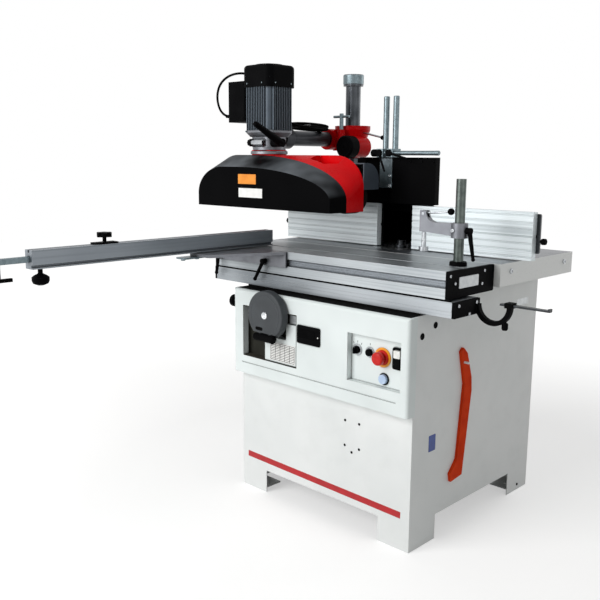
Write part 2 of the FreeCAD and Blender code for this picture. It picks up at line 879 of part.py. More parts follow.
def stop_arm():
    left = rail_right + end_plate
    hub = Vector(left + stop_arm_radius, stop_arm_y - stop_arm_width / 2, rail_top_z - 16)
    outer = rod(hub, axis_y, stop_arm_radius + stop_arm_band / 2, stop_arm_width)
    ring = outer.cut(rod(hub, axis_y, stop_arm_radius - stop_arm_band / 2, stop_arm_width))
    reach = 2 * stop_arm_radius
    half = ring.common(block(left, hub.x + reach, hub.y, hub.y + stop_arm_width, hub.z - reach, hub.z))
    end_x = hub.x + stop_arm_radius
    holder = block(end_x - 12, end_x + 12, hub.y - 6, hub.y + stop_arm_width + 6, hub.z, hub.z + 15)
    mouth = stop_bar_thick + 2 * seat_gap
    way = block(end_x - 12, end_x + 12, hub.y - seat_gap, hub.y + stop_arm_width + seat_gap, hub.z + 4,
                hub.z + 4 + mouth)
    return joined([half, holder]).cut(way), Vector(end_x, hub.y, hub.z + 4 + seat_gap)


def rail_fittings():
    back = rail_front_y + rail_depth
    plates = []
    for x in (rail_left - end_plate, rail_right):
        plates.append(block(x, x + end_plate, rail_front_y, back, rail_low_z, rail_top_z))
    feet = []
    for share in (0.22, 0.5, 0.78):
        x = -half_width + share * cabinet_width
        feet.append(block(x - 20, x + 20, rail_front_y + 20, back - 20, shelf_z, rail_low_z))
    keep("rail_fittings", *plates, *feet, stop_arm()[0])


def stop_bar():
    seat = stop_arm()[1]
    start = seat.x - 30
    flat = block(start, start + stop_bar_length, seat.y, seat.y + stop_arm_width, seat.z, seat.z + stop_bar_thick)
    tip = block(start + stop_bar_length - stop_bar_thick, start + stop_bar_length, seat.y,
                seat.y + stop_arm_width, seat.z, seat.z + stop_bar_thick + stop_bar_tip)
    keep("stop_bar", joined([flat, tip]))


def carriage_beam():
    low = carriage_low_z
    beam = block(carriage_left, carriage_right, carriage_front_y, carriage_back_y, low, table_height)

    def along(y0, y1, z0, z1):
        return block(carriage_left, carriage_right, y0, y1, z0, z1)

    cuts = [along(slot_y - slot_mouth / 2, slot_y + slot_mouth / 2, table_height - slot_lip, table_height),
            along(slot_y - slot_wide / 2, slot_y + slot_wide / 2, table_height - slot_deep, table_height - slot_lip)]
    slot_low = low + front_slot_rise
    cuts.append(along(carriage_front_y, carriage_front_y + front_slot_deep, slot_low, slot_low + front_slot_height))
    first = carriage_front_y + front_slot_deep + carriage_wall
    span = (carriage_back_y - carriage_wall - first) / chamber_count
    ceiling = table_height - slot_deep - carriage_wall
    for index in range(chamber_count):
        y = first + index * span
        cuts.append(along(y, y + span - carriage_wall, low + carriage_wall, ceiling))
    beam = beam.cut(Part.makeCompound(cuts))
    runners = []
    for y in (rail_front_y + runner_width, rail_front_y + rail_depth - 2 * runner_width):
        runners.append(along(y, y + runner_width, rail_top_z + seat_gap, low))
    keep("carriage_beam", joined([beam] + runners))


def hand_lever(hub, axis, hub_radius, hub_length, tip, tip_radius):
    seat = hub + axis * (hub_length * 0.6)
    parts = [rod(hub, axis, hub_radius, hub_length), bar(seat, tip, hub_radius * 0.75, tip_radius * 0.8),
             Part.makeSphere(tip_radius, tip)]
    return joined(parts)


def carriage_fittings():
    caps = []
    for x in (carriage_left - end_plate, carriage_right):
        cap = block(x, x + end_plate, carriage_front_y, carriage_back_y, carriage_low_z, table_height)
        caps.append(round_along(cap, axis_x, cap_round))
    levers = []
    face_y = carriage_front_y - outrigger_flange
    for x, lean in ((right_lever_x, right_lever_lean), (left_lever_x, left_lever_lean)):
        hub = Vector(x, face_y, table_height - carriage_lever_drop)
        tip = hub + Vector(lean, -carriage_lever_out, -carriage_lever_reach)
        levers.append(hand_lever(hub, axis_y * -1, carriage_hub_radius, carriage_hub_length, tip, carriage_tip_radius))
    keep("carriage_fittings", *caps, *levers)


def outrigger():
    low = table_height - outrigger_thick
    front = carriage_front_y
    tip_y = front - outrigger_reach
    tip_x = fence_x + fence_thick
    points = [Vector(outrigger_right, front, low), Vector(tip_x + 40, tip_y, low),
              Vector(tip_x + 40 - outrigger_tip, tip_y, low), Vector(outrigger_left, front, low)]
    plate = prism(points, Vector(0, 0, outrigger_thick))
    flange = block(outrigger_left, outrigger_right, front - outrigger_flange, front, table_height - outrigger_drop,
                   table_height)
    body = joined([plate, flange])
    bore = rod(Vector(fence_x, fence_pivot_y, low), axis_z, fence_pivot_radius + run_fit, outrigger_thick)
    keep("outrigger", body.cut(bore))


# Crosscut fence

def extension_section(clearance, y0, y1):
    half = extension_width / 2 + clearance
    return block(fence_x - half, fence_x + half, y0, y1, extension_z - clearance,
                 extension_z + extension_height + clearance)


def crosscut_fence():
    left = fence_x - fence_thick / 2
    right = fence_x + fence_thick / 2
    body = block(left, right, fence_outer_y, fence_inner_y, fence_low_z, fence_top_z)
    body = body.cut(extension_section(seat_gap, fence_outer_y, fence_inner_y))
    body = body.cut(block(right - fence_groove, right, fence_outer_y, fence_inner_y, fence_low_z + 4,
                          fence_low_z + 4 + fence_groove))
    body = body.cut(block(fence_x - fence_groove / 2, fence_x + fence_groove / 2, fence_outer_y, fence_inner_y,
                          fence_top_z - fence_groove, fence_top_z))
    washer = rod(Vector(fence_x, fence_pivot_y, table_height + seat_gap), axis_z, fence_washer_radius,
                 fence_lift - seat_gap)
    pin = rod(Vector(fence_x, fence_pivot_y, table_height - outrigger_thick), axis_z, fence_pivot_radius,
              outrigger_thick + fence_lift)
    keep("crosscut_fence", joined([body, washer, pin]))


def crosscut_stop():
    base_z = fence_top_z + seat_gap
    half = fence_stop_width / 2
    plate = block(fence_x - half, fence_x + half, fence_stop_y - fence_stop_length / 2,
                  fence_stop_y + fence_stop_length / 2, base_z, base_z + fence_stop_thick)
    stem = rod(Vector(fence_x, fence_stop_y, base_z), axis_z, stop_stem_radius, star_knob_rise + 1)
    knob_low = Vector(fence_x, fence_stop_y, base_z + star_knob_rise)
    knob = rod(knob_low, axis_z, star_knob_radius, star_knob_height)
    for index in range(star_knob_lobes):
        turn = 2 * math.pi * index / star_knob_lobes
        reach = star_knob_radius * 1.18
        notch = knob_low + Vector(reach * math.cos(turn), reach * math.sin(turn), 0)
        knob = knob.cut(rod(notch, axis_z, star_knob_radius * 0.36, star_knob_height))
    tongue = block(fence_x - fence_groove / 2 + seat_gap, fence_x + fence_groove / 2 - seat_gap,
                   fence_stop_y - fence_stop_tongue / 2, fence_stop_y + fence_stop_tongue / 2,
                   fence_top_z - fence_groove / 2, base_z)
    keep("crosscut_stop", joined([plate, stem, knob, tongue]))


def flip_pivot():
    return Vector(fence_x, fence_outer_y - extension_out, extension_z + extension_height / 2)


def fence_extension():
    pivot = flip_pivot()
    pin_length = flip_cap + flip_block + 2
    square = extension_section(0, pivot.y + pin_length, fence_outer_y + extension_in)
    pin = rod(pivot, axis_y, flip_pin_radius, pin_length)
    cap = rod(pivot, axis_y, flip_pin_radius + 3, flip_cap - seat_gap)
    keep("fence_extension", joined([square, pin, cap]))


def flip_stop():
    pivot = flip_pivot()
    y0 = pivot.y + flip_cap
    half = extension_width / 2 + flip_wall
    x1 = fence_x + half
    ring = block(fence_x - half, x1, y0, y0 + flip_block, pivot.z - half, pivot.z + half)
    low = pivot.z - half - flip_drop
    plate = block(x1, x1 + flip_plate, y0, y0 + flip_block, low, pivot.z + half)
    finger = block(x1, x1 + flip_plate, y0, y0 + flip_block + flip_finger, low, low + flip_plate)
    body = joined([ring, plate, finger])
    keep("flip_stop", body.cut(rod(pivot, axis_y, flip_pin_radius + run_fit, flip_cap + flip_block)))


# Hold-down clamp

def clamp_post():
    base = Vector(clamp_x, clamp_y, table_height)
    post = rod(base, axis_z, clamp_post_radius, clamp_post_height)
    keep("clamp_post", joined([post, rod(base, axis_z, clamp_flange_radius, clamp_flange)]))


def clamp_arm():
    boss = rod(Vector(clamp_x, clamp_y, clamp_boss_z), axis_z, clamp_boss_radius, clamp_boss_height)
    top = clamp_boss_z + clamp_boss_height
    half = clamp_arm_thick / 2
    low = top - clamp_web
    high = top + clamp_head_rise - 8
    points = [(clamp_x, low - 3), (clamp_x - clamp_reach * 0.45, low), (clamp_head_x + half, low + 4),
              (clamp_head_x - half, low + 4), (clamp_head_x - half, high), (clamp_head_x + half, high),
              (clamp_head_x + half + 3, top + 15), (clamp_head_x + half + 12, top + 3),
              (clamp_head_x + half + 28, top - 3), (clamp_x, top - 2)]
    web = prism([Vector(x, clamp_y - half, z) for x, z in points], Vector(0, clamp_arm_thick, 0))
    body = joined([boss, web])
    body = body.cut(rod(Vector(clamp_x, clamp_y, clamp_boss_z), axis_z, clamp_post_radius + run_fit,
                        clamp_boss_height))
    bore = rod(Vector(clamp_head_x, clamp_y, clamp_boss_z), axis_z, press_rod_radius + run_fit,
               clamp_boss_height + clamp_head_rise)
    fork = block(clamp_head_x - clamp_arm_thick, clamp_head_x + clamp_arm_thick, clamp_y - half / 2,
                 clamp_y + half / 2, top + clamp_head_rise - 30, top + clamp_head_rise)
    pivot = rod(Vector(clamp_head_x, clamp_y - half, top + clamp_head_rise - 18), axis_y, 4 + run_fit,
                clamp_arm_thick)
    keep("clamp_arm", body.cut(bore).cut(fork).cut(pivot))


def clamp_lever():
    hub = Vector(clamp_x + clamp_boss_radius + seat_gap, clamp_y, clamp_boss_z + clamp_boss_height / 2)
    tip = Vector(hub.x + 26, clamp_y, hub.z - clamp_lever_length)
    keep("clamp_lever", hand_lever(hub, axis_x, 10, 16, tip, 6))


def clamp_handle():
    half = clamp_arm_thick / 2
    pivot = Vector(clamp_head_x, clamp_y - half / 2 + seat_gap, clamp_head_z + clamp_head_rise - 18)
    width = half - 2 * seat_gap
    cam = rod(pivot, axis_y, 8, width)
    pin = rod(pivot - axis_y * (half / 2 + seat_gap), axis_y, 4, clamp_arm_thick)
    start = pivot + axis_y * (width / 2)
    tip = start + Vector(clamp_handle_length, 0, clamp_ball_radius)
    arm = bar(start, tip, 3)
    neck = bar(start, start + Vector(half + 10, 0, 4), 3.5)
    keep("clamp_handle", joined([cam, pin, neck, arm, Part.makeSphere(clamp_ball_radius, tip)]))


def clamp_pad():
    top = clamp_head_z + clamp_head_rise - 18 - 8 - 0.6
    low = table_height + press_pad_lift
    stem = rod(Vector(clamp_head_x, clamp_y, low), axis_z, press_rod_radius, top - low)
    pad = rod(Vector(clamp_head_x, clamp_y, low), axis_z, press_pad_radius, press_pad_thick)
    keep("clamp_pad", joined([stem, pad]))


# Spindle fence

def fence_plate(name, side):
    near = plate_gap / 2
    xs = sorted((side * near, side * (near + plate_length)))
    body = block(xs[0], xs[1], plate_front_y, plate_back_y, plate_low_z, plate_low_z + plate_height)
    cuts = []
    pitch = plate_height / plate_rib_count
    for index in range(plate_rib_count):
        z = plate_low_z + (index + 0.5) * pitch - plate_rib_height / 2
        cuts.append(block(xs[0], xs[1], plate_front_y, plate_front_y + plate_rib_deep, z, z + plate_rib_height))
    middle = plate_low_z + plate_height / 2
    half = plate_key / 2 + seat_gap
    cuts.append(block(xs[0], xs[1], plate_back_y - 4, plate_back_y, middle - half, middle + half))
    keep(name, body.cut(Part.makeCompound(cuts)))


def fence_hood():
    left = -hood_width / 2
    right = hood_width / 2
    wall = hood_sheet
    low_top = table_height + hood_low_height
    chamber_back = hood_front_y + chamber_depth
    guard_low = hood_top_z - guard_drop
    low_box = block(left, right, hood_front_y, hood_back_y, table_height, low_top)
    chamber = block(left, chamber_right, hood_front_y, chamber_back, table_height, hood_top_z)
    guard = block(guard_left, right, guard_front_y, hood_front_y, guard_low, hood_top_z)
    lip = block(left, right, plate_front_y, hood_front_y, hood_top_z - wall, hood_top_z)
    shell = joined([low_box, chamber, guard, lip])
    low_inside = block(left + wall, right - wall, hood_front_y + wall, hood_back_y - wall, table_height,
                       low_top - wall)
    chamber_inside = block(left + wall, chamber_right - wall, hood_front_y + wall, chamber_back - wall,
                           table_height, hood_top_z - wall)
    guard_inside = block(guard_left + wall, right - wall, guard_front_y + wall, hood_front_y + wall,
                         guard_low + wall, hood_top_z - wall)
    mouth = block(-hood_mouth / 2, hood_mouth / 2, hood_front_y, hood_front_y + wall, table_height, guard_low)
    shell = shell.cut(low_inside).cut(chamber_inside).cut(guard_inside).cut(mouth)
    parts = [shell]
    middle = plate_low_z + plate_height / 2
    for side in (-1, 1):
        near = side * right
        xs = sorted((near, near + side * bracket_width))
        parts.append(block(xs[0], xs[1], hood_front_y, hood_front_y + bracket_depth, table_height,
                           table_height + bracket_thick))
        parts.append(block(xs[0], xs[1], hood_front_y, hood_front_y + bracket_thick, table_height,
                           table_height + bracket_height))
        parts.append(block(xs[0] + 10, xs[1] - 10, plate_back_y - 4 + seat_gap, hood_front_y + 1,
                           middle - plate_key / 2, middle + plate_key / 2))
    mouth_centre = Vector(0, hood_back_y - wall, spigot_z)
    parts.append(rod(mouth_centre, axis_y, spigot_radius, spigot_length + wall))
    body = joined(parts)
    keep("fence_hood", body.cut(rod(mouth_centre, axis_y, spigot_radius - spigot_wall, spigot_length + wall)))


def hood_posts():
    half = post_block / 2
    solids = []
    for index in range(2):
        x = post_left_x + index * post_pitch
        clamp = block(x - half, x + half, cross_rod_y - 13, post_y + half, hood_top_z, hood_top_z + post_block)
        clamp = round_along(clamp, axis_z, 4)
        post = rod(Vector(x, post_y, hood_top_z), axis_z, post_radius, post_height)
        bore = rod(Vector(x - half, cross_rod_y, post_block_z), axis_x, cross_rod_radius + run_fit, post_block)
        solids.append(joined([clamp, post]).cut(bore))
    low = hood_top_z - hood_sheet
    plate = block(post_left_x - 20, guard_left - 2, post_y - 6, post_y - 2, low - post_plate_height, low)
    keep("hood_posts", *solids, plate)


def presser_rod():
    start = Vector(cross_rod_right - cross_rod_length, cross_rod_y, post_block_z)
    keep("presser_rod", rod(start, axis_x, cross_rod_radius, cross_rod_length))


# Feeder stand

def feeder_column():
    half = column_foot / 2
    foot = block(column_x - half, column_x + half, column_y - half, column_y + half, table_height,
                 table_height + column_foot_thick)
    foot = round_along(foot, axis_z, 14)
    post = rod(Vector(column_x, column_y, table_height), axis_z, column_radius, column_top_z - table_height)
    collar = rod(Vector(column_x, column_y, column_top_z - collar_height), axis_z, collar_radius, collar_height)
    keep("feeder_column", joined([foot, post, collar]))


def stand_head():
    low = Vector(column_x, column_y, head_low_z)
    boss = rod(low, axis_z, head_radius, head_height)
    flare_low = low + axis_z * (head_height - head_disc - head_flare_height)
    flare = Part.makeCone(head_radius, head_radius + head_flare, head_flare_height, flare_low, axis_z)
    disc = rod(flare_low + axis_z * head_flare_height, axis_z, head_radius + head_flare, head_disc)
    sleeve = rod(Vector(arm_x, sleeve_front_y, arm_z), axis_y, sleeve_radius, sleeve_length)
    gear_boss = rod(Vector(gear_boss_x, gear_boss_front_y, gear_boss_z), axis_y, gear_boss_radius,
                    column_y - gear_boss_front_y)
    web = block(arm_x, column_x, column_y - head_radius + 8, column_y + head_radius - 8, head_low_z + 30,
                arm_z + sleeve_radius / 2)
    crank_boss = rod(Vector(crank_x, crank_y, gear_boss_z), axis_z, crank_boss_radius, crank_boss_z - gear_boss_z)
    body = joined([boss, flare, disc, sleeve, gear_boss, web, crank_boss])
    body = body.cut(rod(low, axis_z, column_radius + run_fit, head_height))
    body = body.cut(rod(Vector(arm_x, sleeve_front_y, arm_z), axis_y, arm_radius + run_fit, sleeve_length))
    crank_bore = rod(Vector(crank_x, crank_y, crank_boss_z - crank_sink), axis_z, crank_radius + run_fit, crank_sink)
    keep("stand_head", body.cut(crank_bore))


def lift_crank():
    low = Vector(crank_x, crank_y, crank_boss_z - crank_sink + seat_gap)
    stem = rod(low, axis_z, crank_radius, crank_sink + crank_rise)
    bar_z = crank_boss_z + crank_rise - 12
    handle = rod(Vector(crank_x - crank_bar / 2, crank_y, bar_z), axis_x, crank_bar_radius, crank_bar)
    keep("lift_crank", joined([stem, handle]))


def feeder_arm():
    tube = rod(Vector(arm_x, gearbox_back_y, arm_z), axis_y, arm_radius, arm_back_y - gearbox_back_y)
    knuckle = rod(Vector(arm_x, gearbox_back_y, arm_z), axis_y, arm_radius + 12, 42)
    half = motor_size / 2
    motor_place = block(feed_axis_x - half, feed_axis_x + half, feed_axis_y, feed_axis_y + half + seat_gap,
                        gearbox_top_z, gearbox_top_z + motor_fins_height)
    keep("feeder_arm", joined([tube, knuckle]).cut(motor_place))


# Feeder motor, gearbox and covers

def square_post(size, low_z, height, corner):
    half = size / 2
    shape = block(feed_axis_x - half, feed_axis_x + half, feed_axis_y - half, feed_axis_y + half, low_z,
                  low_z + height)
    return round_along(shape, axis_z, corner)


def feeder_gearbox():
    case = square_post(gearbox_size, gearbox_low_z, gearbox_height, gearbox_round)
    flange_z = gearbox_top_z - gearbox_taper
    flange = square_post(gearbox_flange, flange_z, gearbox_taper, gearbox_round)
    low_edges = [edge for edge in flange.Edges if abs(edge.CenterOfMass.z - flange_z) < 0.01]
    flange = flange.makeChamfer((gearbox_flange - gearbox_size) / 2, low_edges)
    neck = rod(Vector(arm_x, feed_axis_y, arm_z), axis_y, gearbox_neck, gearbox_flange / 2)
    ring = rod(Vector(feed_axis_x, feed_axis_y, gearbox_low_z - turntable_ring), axis_z,
               turntable_radius - 4, turntable_ring)
    keep("feeder_gearbox", joined([case, flange, neck, ring]))


def feeder_motor():
    core = square_post(motor_core, gearbox_top_z, motor_fins_height, 18)
    half = motor_size / 2
    first = -(motor_fin_count - 1) / 2 * motor_fin_pitch
    fins = []
    for index in range(motor_fin_count):
        shift = first + index * motor_fin_pitch
        x = feed_axis_x + shift
        y = feed_axis_y + shift
        fins.append(block(x - motor_fin / 2, x + motor_fin / 2, feed_axis_y - half, feed_axis_y + half,
                          gearbox_top_z, gearbox_top_z + motor_fins_height))
        fins.append(block(feed_axis_x - half, feed_axis_x + half, y - motor_fin / 2, y + motor_fin / 2,
                          gearbox_top_z, gearbox_top_z + motor_fins_height))
    keep("feeder_motor", joined([core] + fins))


def motor_covers():
    cowl = square_post(motor_size + 4, cowl_low_z, cowl_height, cowl_round)
    top_edges = [edge for edge in cowl.Edges if abs(edge.CenterOfMass.z - cowl_low_z - cowl_height) < 0.01]
    cowl = cowl.makeFillet(14, top_edges)
    half = terminal_width / 2
    side = feed_axis_x - motor_size / 2
    box = block(terminal_left, side, feed_axis_y - half, feed_axis_y + half, terminal_low_z,
                terminal_low_z + terminal_height)
    box = round_along(box, axis_z, 5)
    box = box.cut(square_post(motor_size + 5, cowl_low_z - 1, cowl_height + 2, cowl_round))
    gland = rod(Vector(terminal_left - gland_length, gland_y, gland_z), axis_x, gland_radius, gland_length + 2)
    keep("motor_covers", cowl, joined([box, gland]))


def tilt_lever():
    hub = Vector(feed_axis_x + gearbox_size / 2 + seat_gap, lever_y, lever_z)
    turn = math.radians(lever_angle)
    reach = Vector(lever_hub_length * 0.75, -lever_reach * math.cos(turn), lever_reach * math.sin(turn))
    seat = hub + axis_x * (lever_hub_length * 0.75)
    parts = [rod(hub, axis_x, lever_hub_radius, lever_hub_length), bar(seat, hub + reach, lever_hub_radius, lever_tip_radius),
             Part.makeSphere(lever_tip_radius, hub + reach)]
    keep("tilt_lever", joined(parts))


# Feeder body

def arch(y, inset, top_inset, low, left_rise, right_rise, left_run, right_run):
    left = feeder_left + inset
    right = feeder_right - inset
    top = feeder_top_z - top_inset
    left_top = feeder_low_z + left_rise
    right_top = feeder_low_z + right_rise

    def point(x, z):
        return Vector(x, y, z)

    def rounded(low_end, high_end):
        oval = Part.Ellipse(low_end, high_end, point(high_end.x, low_end.z))
        return Part.ArcOfEllipse(oval, 0, math.pi / 2).toShape()

    corners = [point(left, low), point(left, left_top), point(left + left_run, top), point(right - right_run, top),
               point(right, right_top), point(right, low)]
    edges = [Part.LineSegment(corners[0], corners[1]).toShape(),
             rounded(corners[1], corners[2]),
             Part.LineSegment(corners[2], corners[3]).toShape(),
             rounded(corners[4], corners[3]),
             Part.LineSegment(corners[4], corners[5]).toShape(),
             Part.LineSegment(corners[5], corners[0]).toShape()]
    return Part.Wire(edges)


def crest_arch(y, inset, top_inset, low):
    return arch(y, inset, top_inset, low, left_shoulder, right_shoulder, left_round - inset, right_round - inset)


def full_arch(y, inset, top_inset, low):
    rise = feeder_height - body_corner_drop
    run = body_corner_run - inset
    return arch(y, inset, top_inset, low, rise, rise, run, run)


def between(front, back):
    return Part.makeLoft([front, back], True, True)


def feeder_front_cover():
    low = feeder_low_z
    outer = between(crest_arch(feeder_front_y, front_cover_inset, front_cover_bevel, low),
                    crest_arch(body_y, 0, 0, low))
    wall = cover_wall
    inner = between(crest_arch(feeder_front_y + wall, front_cover_inset + wall, front_cover_bevel + wall, low - 1),
                    crest_arch(body_y, wall, wall, low - 1))
    keep("feeder_front_cover", outer.cut(inner))


def wheel_places():
    centre = (feeder_left + feeder_right) / 2
    first = centre - (feed_wheel_count - 1) / 2 * feed_wheel_pitch
    return [first + index * feed_wheel_pitch for index in range(feed_wheel_count)]


def feeder_body():
    low = feeder_low_z
    wall = cover_wall
    outer = between(crest_arch(body_y, 0, 0, low), full_arch(body_back_y, 0, 0, low))
    inner = between(crest_arch(body_y + wall, wall, wall, low - 1), full_arch(body_back_y - wall, wall, wall, low - 1))
    right = feeder_right - handle_right
    middle_y = body_back_y - wall - handle_width / 2
    pocket = block(right - handle_length, right, middle_y - handle_width / 2, middle_y + handle_width / 2,
                   feeder_top_z - handle_deep, feeder_top_z + handle_deep)
    tub = block(right - handle_length - wall, right + wall, middle_y - handle_width / 2 - wall, body_back_y,
                feeder_top_z - handle_deep - wall, feeder_top_z)
    shell = outer.cut(inner).fuse(tub.common(outer)).cut(pocket)
    centre = Vector(feed_axis_x, feed_axis_y, feeder_top_z - 3 * wall)
    disc = rod(centre, axis_z, turntable_radius, turntable_top_z - seat_gap - centre.z)
    disc = disc.common(block(feeder_left, feeder_right, body_y, body_back_y, low, turntable_top_z))
    axles = []
    for x in wheel_places():
        start = Vector(x, body_back_y - wall, feed_wheel_z)
        axles.append(rod(start, axis_y, feed_axle_radius, wall + feed_wheel_gap + 0.75 * feed_wheel_width))
    keep("feeder_body", joined([shell, disc] + axles))


def guard_roof(inset, x0, x1):
    front = body_back_y
    back = front + guard_depth - inset
    top = feeder_low_z + guard_rise - inset
    low = feeder_low_z + guard_low
    turn = top - (guard_rise - guard_low) * 0.72
    crown = Vector(x0, front + guard_depth * 0.25, top)
    edges = [Part.LineSegment(Vector(x0, front, low - inset), Vector(x0, front, top)).toShape(),
             Part.LineSegment(Vector(x0, front, top), crown).toShape(),
             Part.Arc(crown, Vector(x0, crown.y + (back - crown.y) * 0.72, turn + (top - turn) * 0.72),
                      Vector(x0, back, turn)).toShape(),
             Part.LineSegment(Vector(x0, back, turn), Vector(x0, back, low - inset)).toShape(),
             Part.LineSegment(Vector(x0, back, low - inset), Vector(x0, front, low - inset)).toShape()]
    return Part.Face(Part.Wire(edges)).extrude(Vector(x1 - x0, 0, 0))


def feeder_wheel_guard():
    outer = guard_roof(0, feeder_left, feeder_right)
    inner = guard_roof(guard_wall, feeder_left + guard_wall, feeder_right - guard_wall)
    keep("feeder_wheel_guard", outer.cut(inner))


def feeder_wheels():
    for index, x in enumerate(wheel_places()):
        start = Vector(x, feed_wheel_y, feed_wheel_z)
        wheel = rod(start, axis_y, feed_wheel_radius, feed_wheel_width)
        edges = [edge for edge in wheel.Edges if edge.Curve.TypeId == "Part::GeomCircle"]
        wheel = wheel.makeFillet(4, edges)
        hub = rod(start, axis_y, feed_axle_radius * 2, feed_wheel_width)
        for side in (0, feed_wheel_width - feed_wheel_rubber):
            dish = rod(start + axis_y * side, axis_y, feed_wheel_radius - feed_wheel_rubber, feed_wheel_rubber)
            wheel = wheel.cut(dish.cut(hub))
        bore = rod(start, axis_y, feed_axle_radius + run_fit, 0.75 * feed_wheel_width + 1)
        keep("feeder_wheel_%d" % (index + 1), wheel.cut(bore))


# Lead of the feeder

def corner_arc(before, corner, after):
    turn = (corner - before).getAngle(after - corner)
    tangent = (corner - before).Length
    radius = tangent / math.tan(turn / 2)
    middle = (before + after) * 0.5 - corner
    middle.normalize()
    top = corner + middle * (radius * (1 / math.cos(turn / 2) - 1))
    return Part.Arc(before, top, after).toShape(), radius


def coil_frame():
    tilt = math.radians(coil_tilt)
    across = Vector(1, 0, 0)
    along = Vector(0, math.cos(tilt), math.sin(tilt))
    normal = across.cross(along)
    low = (coil_radius + cord_radius) * abs(math.sin(tilt)) + (coil_pitch / 2 + cord_radius) * math.cos(tilt)
    centre = Vector(coil_x, coil_y, arm_z + arm_radius + seat_gap + low)
    return centre, across, along, normal


def coil_path():
    centre, across, along, normal = coil_frame()

    def place(u, v, w):
        return centre + across * u + along * v + normal * w

    shrink = coil_pitch / 2
    radii = [coil_radius - index * shrink for index in range(coil_half_turns)]
    climb = radii[-1] - shrink
    steps = [(radius, 0) for radius in radii] + [(climb, coil_pitch)] + [(radius, 0) for radius in radii[::-1]]
    u = coil_radius
    w = -coil_pitch / 2
    side = -1
    tail = 2 * cord_radius
    edges = [Part.LineSegment(place(u, -tail, w), place(u, 0, w)).toShape()]
    for radius, rise in steps:
        end = u + 2 * side * radius
        reach = math.sqrt(radius * radius + rise * rise / 4)
        way = -side
        start_point = place(u, 0, w)
        end_point = place(end, 0, w + rise)
        first_corner = place(u, way * reach, w)
        last_corner = place(end, way * reach, w + rise)
        joint = (first_corner + last_corner) * 0.5
        edges.append(corner_arc(start_point, first_corner, joint)[0])
        edges.append(corner_arc(joint, last_corner, end_point)[0])
        u = end
        w = w + rise
        side = -side
    last = place(u, 0, w)
    leave = place(u, -side * tail, w)
    edges.append(Part.LineSegment(last, leave).toShape())
    return edges, place(coil_radius, -tail, -coil_pitch / 2), leave


def tube_on(edges, radius):
    wire = Part.Wire(edges)
    first = edges[0]
    start = first.valueAt(first.FirstParameter)
    ring = Part.Wire(Part.makeCircle(radius, start, first.tangentAt(first.FirstParameter)))
    return wire.makePipeShell([ring], True, False), wire.Length


def least_self_gap(edges, radius):
    points = []
    run = 0.0
    for edge in edges:
        count = max(4, int(edge.Length / 3))
        for index in range(count):
            share = edge.FirstParameter + (edge.LastParameter - edge.FirstParameter) * index / count
            points.append((run + edge.Length * index / count, edge.valueAt(share)))
        run += edge.Length
    least = 1e9
    for index, (at, point) in enumerate(points):
        for other_at, other in points[index + 1:]:
            if other_at - at > 12 * radius:
                least = min(least, point.distanceToPoint(other))
    return least - 2 * radius


def cord_route():
    gland_end = Vector(terminal_left - gland_length, gland_y, gland_z)
    coil_start = coil_path()[1]
    steps = [(-30, 0, 0), (-29, -6, 24), (-4, -10, 38), (19, -13, 35), (29, -6, 30), (34, 10, 23), (31, 26, 10),
             (19, 37, -4), (10, 38, -15), (6, 30, -29), (8, 15, -38), (19, 4, -37), (31, 1, -31), (37, 0, -24),
             (37, 4, -14)]
    points = [gland_end]
    for step in steps:
        points.append(points[-1] + Vector(*step))
    lead_in = coil_path()[0][0]
    way = lead_in.tangentAt(lead_in.FirstParameter)
    last = coil_start - way * 38
    points += [Vector(last.x - 19, last.y - 40, last.z - 3), last, coil_start]
    return points


def cord_run():
    points = cord_route()
    edges = []
    radii = []
    last = points[0]
    for before, corner, after in zip(points, points[1:], points[2:]):
        back = before - corner
        ahead = after - corner
        tangent = 0.45 * min(back.Length, ahead.Length)
        start = corner + back.normalize() * tangent
        end = corner + ahead.normalize() * tangent
        arc, radius = corner_arc(start, corner, end)
        edges.append(Part.LineSegment(last, start).toShape())
        edges.append(arc)
        radii.append(radius)
        last = end
    edges.append(Part.LineSegment(last, points[-1]).toShape())
    tube, length = tube_on(edges, cord_radius)
    print("lead radii", [round(radius, 1) for radius in radii])
    print("lead length", round(length, 1), "volume ratio",
          round(tube.Volume / (math.pi * cord_radius ** 2 * length), 4))
    keep("cord_run", tube)


def cord_coil():
    edges = coil_path()[0]
    tube, length = tube_on(edges, cord_radius)
    print("coil length", round(length, 1), "volume ratio",
          round(tube.Volume / (math.pi * cord_radius ** 2 * length), 4))
    print("coil least self gap", round(least_self_gap(edges, cord_radius), 2))
    keep("cord_coil", tube)


def cord_plug():
    edges, start, leave = coil_path()
    way = edges[-1].tangentAt(edges[-1].LastParameter)
    begin = leave + way * seat_gap
    neck = begin + way * plug_sleeve
    throat = neck + way * 20
    sleeve = bar(begin, neck, cord_radius + seat_gap)
    cone = bar(neck, throat, cord_radius + seat_gap, plug_radius * 0.7)
    head = rod(throat + way * 4, way, plug_radius, plug_length)
    collar = rod(throat, way, plug_radius * 0.7, 6)
    pins = []
    for side in (-1, 1):
        pins.append(rod(throat + way * (4 + plug_length) + Vector(side * 8, 0, 0), way, 2.4, 18))
    keep("cord_plug", joined([sleeve, cone, collar, head] + pins))


